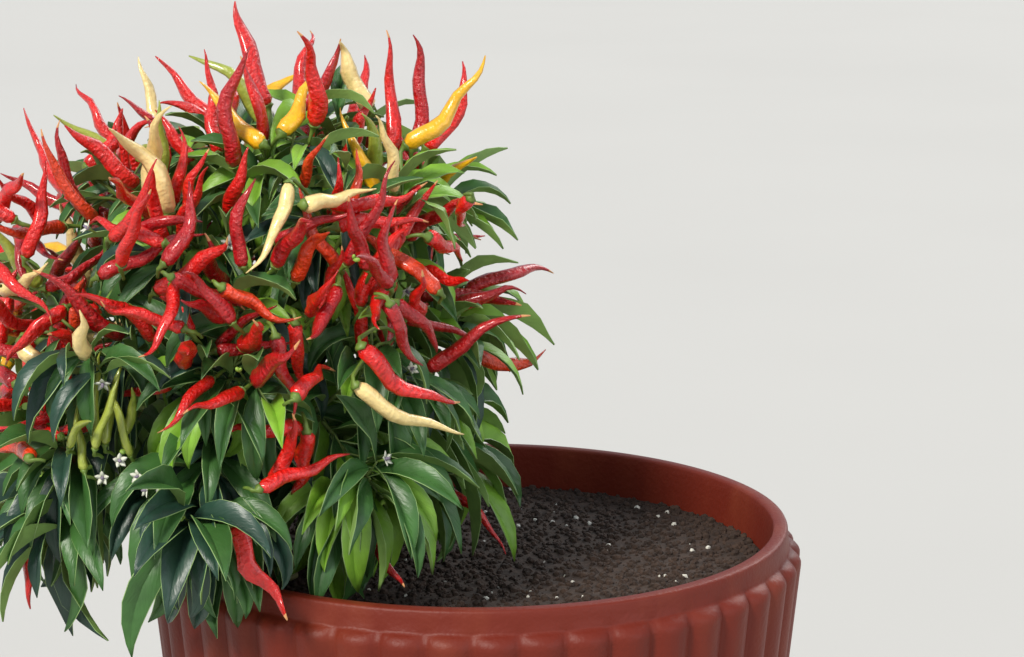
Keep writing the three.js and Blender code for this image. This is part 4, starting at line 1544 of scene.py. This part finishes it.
def bud_tree(material):
    """An egg-shaped bud at each point, along the point's own direction."""
    tree = Tree("buds")
    length = tree.size("Bud length", "Float", 0.0042)
    seed = tree.size("Seed", "Int", 5)
    way = tree.first("GeometryNodeInputNamedAttribute", {"Name": "way"}, data_type="FLOAT_VECTOR")
    turn = tree.first("FunctionNodeAlignRotationToVector", {"Vector": way}, axis="Z")
    egg = tree.first("GeometryNodeMeshUVSphere", {"Segments": 7, "Rings": 5, "Radius": 0.5})
    slim = tree.first("GeometryNodeTransform", {"Geometry": egg, "Scale": (0.62, 0.62, 1.0)})
    scale = tree.math("MULTIPLY", tree.random(0.6, 1.15, seed), length)
    points = tree.first("GeometryNodeMeshToPoints", {"Mesh": tree.source.outputs[0]})
    links = {"Points": points, "Instance": slim, "Rotation": turn, "Scale": scale}
    placed = tree.first("GeometryNodeInstanceOnPoints", links)
    tree.end(tree.first("GeometryNodeSetShadeSmooth", {"Geometry": placed}), material)
    return tree


def scatter_tree(name, density, sizes, seed, material):
    """Rough grains scattered over the faces that look up."""
    tree = Tree(name)
    per_area = tree.size("Grains per square metre", "Float", density)
    smallest = tree.size("Smallest", "Float", sizes[0])
    largest = tree.size("Largest", "Float", sizes[1])
    seeded = tree.size("Seed", "Int", seed)
    parts = tree.add("ShaderNodeSeparateXYZ", {0: tree.first("GeometryNodeInputNormal")})
    upward = tree.first("FunctionNodeCompare", {0: parts.outputs[2], 1: 0.5}, operation="GREATER_THAN")
    links = {"Mesh": tree.source.outputs[0], "Selection": upward, "Density": per_area, "Seed": seeded}
    points = tree.first("GeometryNodeDistributePointsOnFaces", links)
    grain = tree.first("GeometryNodeMeshIcoSphere", {"Radius": 1.0, "Subdivisions": 1})
    turns = {0: (-3, -3, -3), 1: (3, 3, 3), "Seed": seeded}
    spin = tree.first("FunctionNodeRandomValue", turns, data_type="FLOAT_VECTOR")
    thick = tree.random(smallest, largest, seeded)
    low = tree.math("MULTIPLY", thick, tree.random(0.45, 1.0, seeded))
    scale = tree.first("ShaderNodeCombineXYZ", {0: thick, 1: low, 2: low})
    links = {"Points": points, "Instance": grain, "Rotation": spin, "Scale": scale}
    tree.end(tree.first("GeometryNodeInstanceOnPoints", links), material)
    return tree


def flute_tree(flutes, depth, material):
    """Draws a turned wall in between round lobes, as far as the wall's own share of the fluting."""
    tree = Tree("flutes")
    count = tree.size("Flutes", "Int", flutes)
    deep = tree.size("Flute depth", "Float", depth)
    share = tree.first("GeometryNodeInputNamedAttribute", {"Name": "fluted"}, data_type="FLOAT")
    x, y = tree.add("ShaderNodeSeparateXYZ", {0: tree.first("GeometryNodeInputPosition")}).outputs[:2]
    half_turns = tree.math("MULTIPLY", tree.math("MULTIPLY", tree.math("ARCTAN2", y, x), count), 0.5)
    lobe = tree.math("ABSOLUTE", tree.math("COSINE", half_turns))
    hollow = tree.math("SUBTRACT", 1.0, tree.math("POWER", lobe, 0.75))
    drawn_in = tree.math("MULTIPLY", tree.math("MULTIPLY", hollow, share), deep)
    inward = tree.math("MULTIPLY", drawn_in, -1.0)
    level = tree.first("ShaderNodeCombineXYZ", {0: x, 1: y})
    outward = tree.first("ShaderNodeVectorMath", {0: level}, operation="NORMALIZE")
    shift = tree.first("ShaderNodeVectorMath", {0: outward, "Scale": inward}, operation="SCALE")
    links = {"Geometry": tree.source.outputs[0], "Offset": shift}
    tree.end(tree.first("GeometryNodeSetPosition", links), material)
    return tree


class CHILLI_OT_buds(bpy.types.Operator):
    """Flower buds at the ends of the finer twigs"""

    bl_idname = "chilli.buds"
    bl_label = "Buds"

    def execute(self, context):
        stalk = context.scene.chilli_plant.fruit.stalk
        green = plain_material("bud_green", shaded(stalk, 0.5), 0.5)
        mottle(green, shaded(stalk, 1.4), 300)
        points, ways = [], []
        for number, (place, way, draw) in enumerate(flower_places()):
            for k in range(2 if draw >= FLOWER_SHARE else 0):
                lean = unit(way + stray_vector(number, 410, k) * 0.6)
                points.append(tuple((place + lean * 2.4) * MM))
                ways.append(lean)
        mesh = bpy.data.meshes.new("buds")
        mesh.from_pydata(points, [], [])
        store(mesh, "way", "FLOAT_VECTOR", np.array(ways, np.float32))
        ride_root(bud_tree(green).run(show(mesh), "buds"))
        return {"FINISHED"}


# Pot and soil.
def inner_radius(z):
    """The radius of the pot's plain inside at a height."""
    low = FOOT_RADIUS - FLUTE_DEPTH - POT_WALL
    high = COLLAR_RADIUS - POT_WALL
    return low + (high - low) * (z - POT_BASE) / (POT_HEIGHT - POT_BASE)


def pot_profile():
    """Radius, height and share of the fluting, from under the foot over the rim to the inside."""
    wall = np.linspace(FLUTE_FOOT + 3, SHOULDER_HEIGHT - 5, 12)
    rise = (wall - FLUTE_FOOT) / (SHOULDER_HEIGHT - FLUTE_FOOT)
    slope = FOOT_RADIUS + 1 + (SHOULDER_RADIUS - FOOT_RADIUS - 1) * rise
    rim, rounding = POT_HEIGHT, 1.6
    foot = [(-2, 0, 0), (-0.4, 0.8, 0), (0, 3, 0), (0.6, FLUTE_FOOT - 1, 0.2), (1, FLUTE_FOOT + 1, 0.8)]
    shoulder = [(0.2, -2, 1), (0.2, 0, 1), (0.9, 1.8, 1), (2.4, 3.6, 0.9), (4.6, 5, 0.55)]
    return [
        (FOOT_RADIUS * 0.4, 0, 0),
        *[(FOOT_RADIUS + out, z, share) for out, z, share in foot],
        *[(radius, z, 1) for radius, z in zip(slope, wall)],
        *[(SHOULDER_RADIUS - drawn_in, SHOULDER_HEIGHT + up, share) for drawn_in, up, share in shoulder],
        (COLLAR_RADIUS + 0.6, COLLAR_FOOT - 0.4, 0.2),
        (COLLAR_RADIUS - 0.1, COLLAR_FOOT + 0.8, 0),
        (COLLAR_RADIUS - 0.6, rim - 5, 0),
        (COLLAR_RADIUS - 0.9, rim - rounding, 0),
        (COLLAR_RADIUS - 1.4, rim - 0.5, 0),
        (COLLAR_RADIUS - 1 - rounding, rim, 0),
        (inner_radius(rim) + rounding, rim, 0),
        (inner_radius(rim) + 0.4, rim - 0.5, 0),
        (inner_radius(rim), rim - rounding, 0),
        *[(inner_radius(z), z, 0) for z in (rim - 6, rim - 14, 240, 160, 80, POT_BASE)],
        (FOOT_RADIUS * 0.4, POT_BASE, 0),
    ]


def turned_mesh(name, profile, columns):
    """A turned solid whose two ends are closed at the axis, with each corner's share of the fluting."""
    radii, heights, shares = (np.array(column, float) for column in zip(*profile))
    angles = round_angles(columns)
    rows = len(profile)
    points = np.empty((rows, columns, 3))
    points[..., 0] = radii[:, None] * np.cos(angles)
    points[..., 1] = radii[:, None] * np.sin(angles)
    points[..., 2] = heights[:, None]
    column = np.arange(columns)
    following = (column + 1) % columns
    faces = []
    for row in range(rows - 1):
        low, high = row * columns, (row + 1) * columns
        faces += np.stack([low + column, low + following, high + following, high + column], 1).tolist()
    first, last, top = rows * columns, rows * columns + 1, (rows - 1) * columns
    faces += [(first, int(b), int(a)) for a, b in zip(column, following)]
    faces += [(last, top + int(a), top + int(b)) for a, b in zip(column, following)]
    ends = [[0, 0, heights[0]], [0, 0, heights[-1]]]
    places = np.concatenate([points.reshape(-1, 3), ends]) * MM
    mesh = bpy.data.meshes.new(name)
    mesh.from_pydata(places.tolist(), [], faces)
    store(mesh, "fluted", "FLOAT", np.append(np.repeat(shares, columns), [0, 0]).astype(np.float32))
    mesh.polygons.foreach_set("use_smooth", np.ones(len(faces), bool))
    return mesh


def cut_drains(piece):
    """Cuts the drain holes through the pot's floor."""
    profile = [(DRAINS["radius"], -2, 0), (DRAINS["radius"], POT_BASE + 2, 0)]
    cutters = []
    for angle in round_angles(DRAINS["count"]):
        mesh = turned_mesh("drain_cutter", profile, 24)
        offset = Vector((math.cos(angle) * DRAINS["circle"], math.sin(angle) * DRAINS["circle"], 0)) * MM
        for vertex in mesh.vertices:
            vertex.co += offset
        cutters.append(show(mesh))
        cut = piece.modifiers.new("drain", "BOOLEAN")
        cut.object = cutters[-1]
        cut.solver = "EXACT"
    settled(piece, piece.name)
    for used in cutters:
        bpy.data.objects.remove(used)


class CHILLI_OT_pot(bpy.types.Operator):
    """The fluted pot with its plain collar and drain holes"""

    bl_idname = "chilli.pot"
    bl_label = "Pot"

    def execute(self, context):
        settings = context.scene.chilli_plant.pot
        clay = plain_material("terracotta", settings.glaze, 0.5, {"Specular IOR Level": 0.28})
        mottle(clay, settings.bloom, 34, low=0.48, high=1.1, detail=12, stretch=(1, 1, 0.45))
        relief(clay, 420, 0.35, detail=6)
        turned_wall = show(turned_mesh("fluted_pot", pot_profile(), settings.flutes * 10))
        piece = flute_tree(settings.flutes, settings.depth, clay).run(turned_wall, "fluted_pot")
        cut_drains(piece)
        ride_root(piece, ["pot"])
        return {"FINISHED"}


def soil_mesh():
    """A plug of soil with an uneven top."""
    bottom = POT_BASE + GAP
    edge = inner_radius(SOIL_TOP) - 2 * GAP
    top = SOIL_TOP - 1
    profile = [(inner_radius(bottom) - 2 * GAP, bottom, 0), (edge, SOIL_TOP - 4, 0), (edge, top, 0)]
    profile += [(edge * share, top, 1) for share in np.linspace(0.985, 0.02, 46)]
    mesh = turned_mesh("potting_soil", profile, 120)
    for vertex in mesh.vertices:
        x, y, z = (c / MM for c in vertex.co)
        if z > SOIL_TOP - 2 and math.hypot(x, y) < edge - 1:
            waves = math.sin(0.21 * x + 1.3) * math.sin(0.17 * y + 0.4)
            waves += 0.6 * math.sin(0.43 * x - 0.37 * y)
            vertex.co.z = (SOIL_TOP - 1.2 + 0.6 * waves) * MM
    return mesh


class CHILLI_OT_soil(bpy.types.Operator):
    """The soil in the pot, with its crumbs and white grains"""

    bl_idname = "chilli.soil"
    bl_label = "Soil"

    def execute(self, context):
        settings = context.scene.chilli_plant.pot
        earth = mottled_material("potting_soil", settings.soil, 0.95, 0.9, 160, detail=6)
        relief(earth, 600, 0.8, detail=5)
        perlite = plain_material("perlite", settings.perlite, 0.85)
        relief(perlite, 700, 0.6)
        mesh = soil_mesh()
        mesh.materials.append(earth)
        ground = show(mesh)
        grains = (
            ("soil_crumbs", 68000, (0.0008, 0.0028), 11, earth, "soil"),
            ("perlite_grains", 1300, (0.001, 0.0022), 23, perlite, None),
        )
        for name, density, sizes, seed, material, slot in grains:
            tree = scatter_tree(name, density, sizes, seed, material)
            ride_root(tree.run(show(mesh.copy()), name))
        ride_root(ground, ["soil"])
        return {"FINISHED"}


# Stage.
def aim_at(holder, target):
    """Turns a light or camera towards a place."""
    holder.rotation_euler = (Vector(target) - holder.location).to_track_quat("-Z", "Y").to_euler()


def add_light(name, place, strength, softness, colour):
    """A light that falls from one side alike everywhere, with soft shadows."""
    light = bpy.data.lights.new(name, "SUN")
    light.energy = strength
    light.angle = softness
    light.color = colour
    holder = show(light)
    holder.location = place
    aim_at(holder, LIT_PLACE)


def add_camera(stage):
    """The camera at the photograph's angle."""
    camera = bpy.data.cameras.new("camera")
    camera.sensor_width = 36
    camera.lens = camera.sensor_width * stage.distance / stage.width
    camera.clip_end = 100
    holder = show(camera)
    back = Vector((0, -math.cos(stage.elevation), math.sin(stage.elevation)))
    holder.location = Vector(stage.aim) + back * stage.distance
    aim_at(holder, stage.aim)
    bpy.context.scene.camera = holder


def add_floor(colour):
    """A wide pale floor."""
    half = FLOOR_HALF
    mesh = bpy.data.meshes.new("floor")
    corners = [(-half, -half, 0), (half, -half, 0), (half, half, 0), (-half, half, 0)]
    mesh.from_pydata(corners, [], [(0, 1, 2, 3)])
    mesh.materials.append(mottled_material("floor", colour, 0.9, -0.02, 1.2))
    show(mesh)


class CHILLI_OT_stage(bpy.types.Operator):
    """The camera, the floor and soft studio lights"""

    bl_idname = "chilli.stage"
    bl_label = "Stage"

    def execute(self, context):
        stage = context.scene.chilli_plant.stage
        add_camera(stage)
        add_floor(stage.floor)
        for name, place, share, wider, colour in LIGHTS:
            add_light(name, place, stage.key * share, stage.softness * wider, colour)
        world = bpy.data.worlds.new("sky")
        world.use_nodes = True
        background = world.node_tree.nodes["Background"]
        background.inputs["Color"].default_value = (*stage.sky, 1)
        background.inputs["Strength"].default_value = SKY_STRENGTH
        context.scene.world = world
        context.scene.view_settings.view_transform = "Standard"
        return {"FINISHED"}


STEPS = [
    CHILLI_OT_stage,
    CHILLI_OT_pot,
    CHILLI_OT_soil,
    CHILLI_OT_limbs,
    CHILLI_OT_twigs,
    CHILLI_OT_leaves,
    CHILLI_OT_fruits,
    CHILLI_OT_flowers,
    CHILLI_OT_buds,
]


class CHILLI_PT_panel(bpy.types.Panel):
    """Lists the plant's pieces in the sidebar."""

    bl_label = "Chilli Plant"
    bl_idname = "CHILLI_PT_panel"
    bl_space_type = "VIEW_3D"
    bl_region_type = "UI"
    bl_category = "Chilli Plant"

    def draw(self, context):
        settings = context.scene.chilli_plant
        for step in STEPS:
            self.layout.operator(step.bl_idname)
        for group in (settings.leaf, settings.fruit, settings.pot, settings.stem, settings.stage):
            box = self.layout.box()
            for name in group.__annotations__:
                box.prop(group, name)


CLASSES = [
    ChilliLeafSettings,
    ChilliFruitSettings,
    ChilliPotSettings,
    ChilliStemSettings,
    ChilliStageSettings,
    ChilliPlantSettings,
    *STEPS,
    CHILLI_PT_panel,
]


def register():
    for made in CLASSES:
        bpy.utils.register_class(made)
    bpy.types.Scene.chilli_plant = PointerProperty(type=ChilliPlantSettings)


def unregister():
    del bpy.types.Scene.chilli_plant
    for made in reversed(CLASSES):
        bpy.utils.unregister_class(made)


def main():
    register()
    for step in STEPS:
        group, name = step.bl_idname.split(".")
        getattr(getattr(bpy.ops, group), name)()


if __name__ == "__main__":
    main()
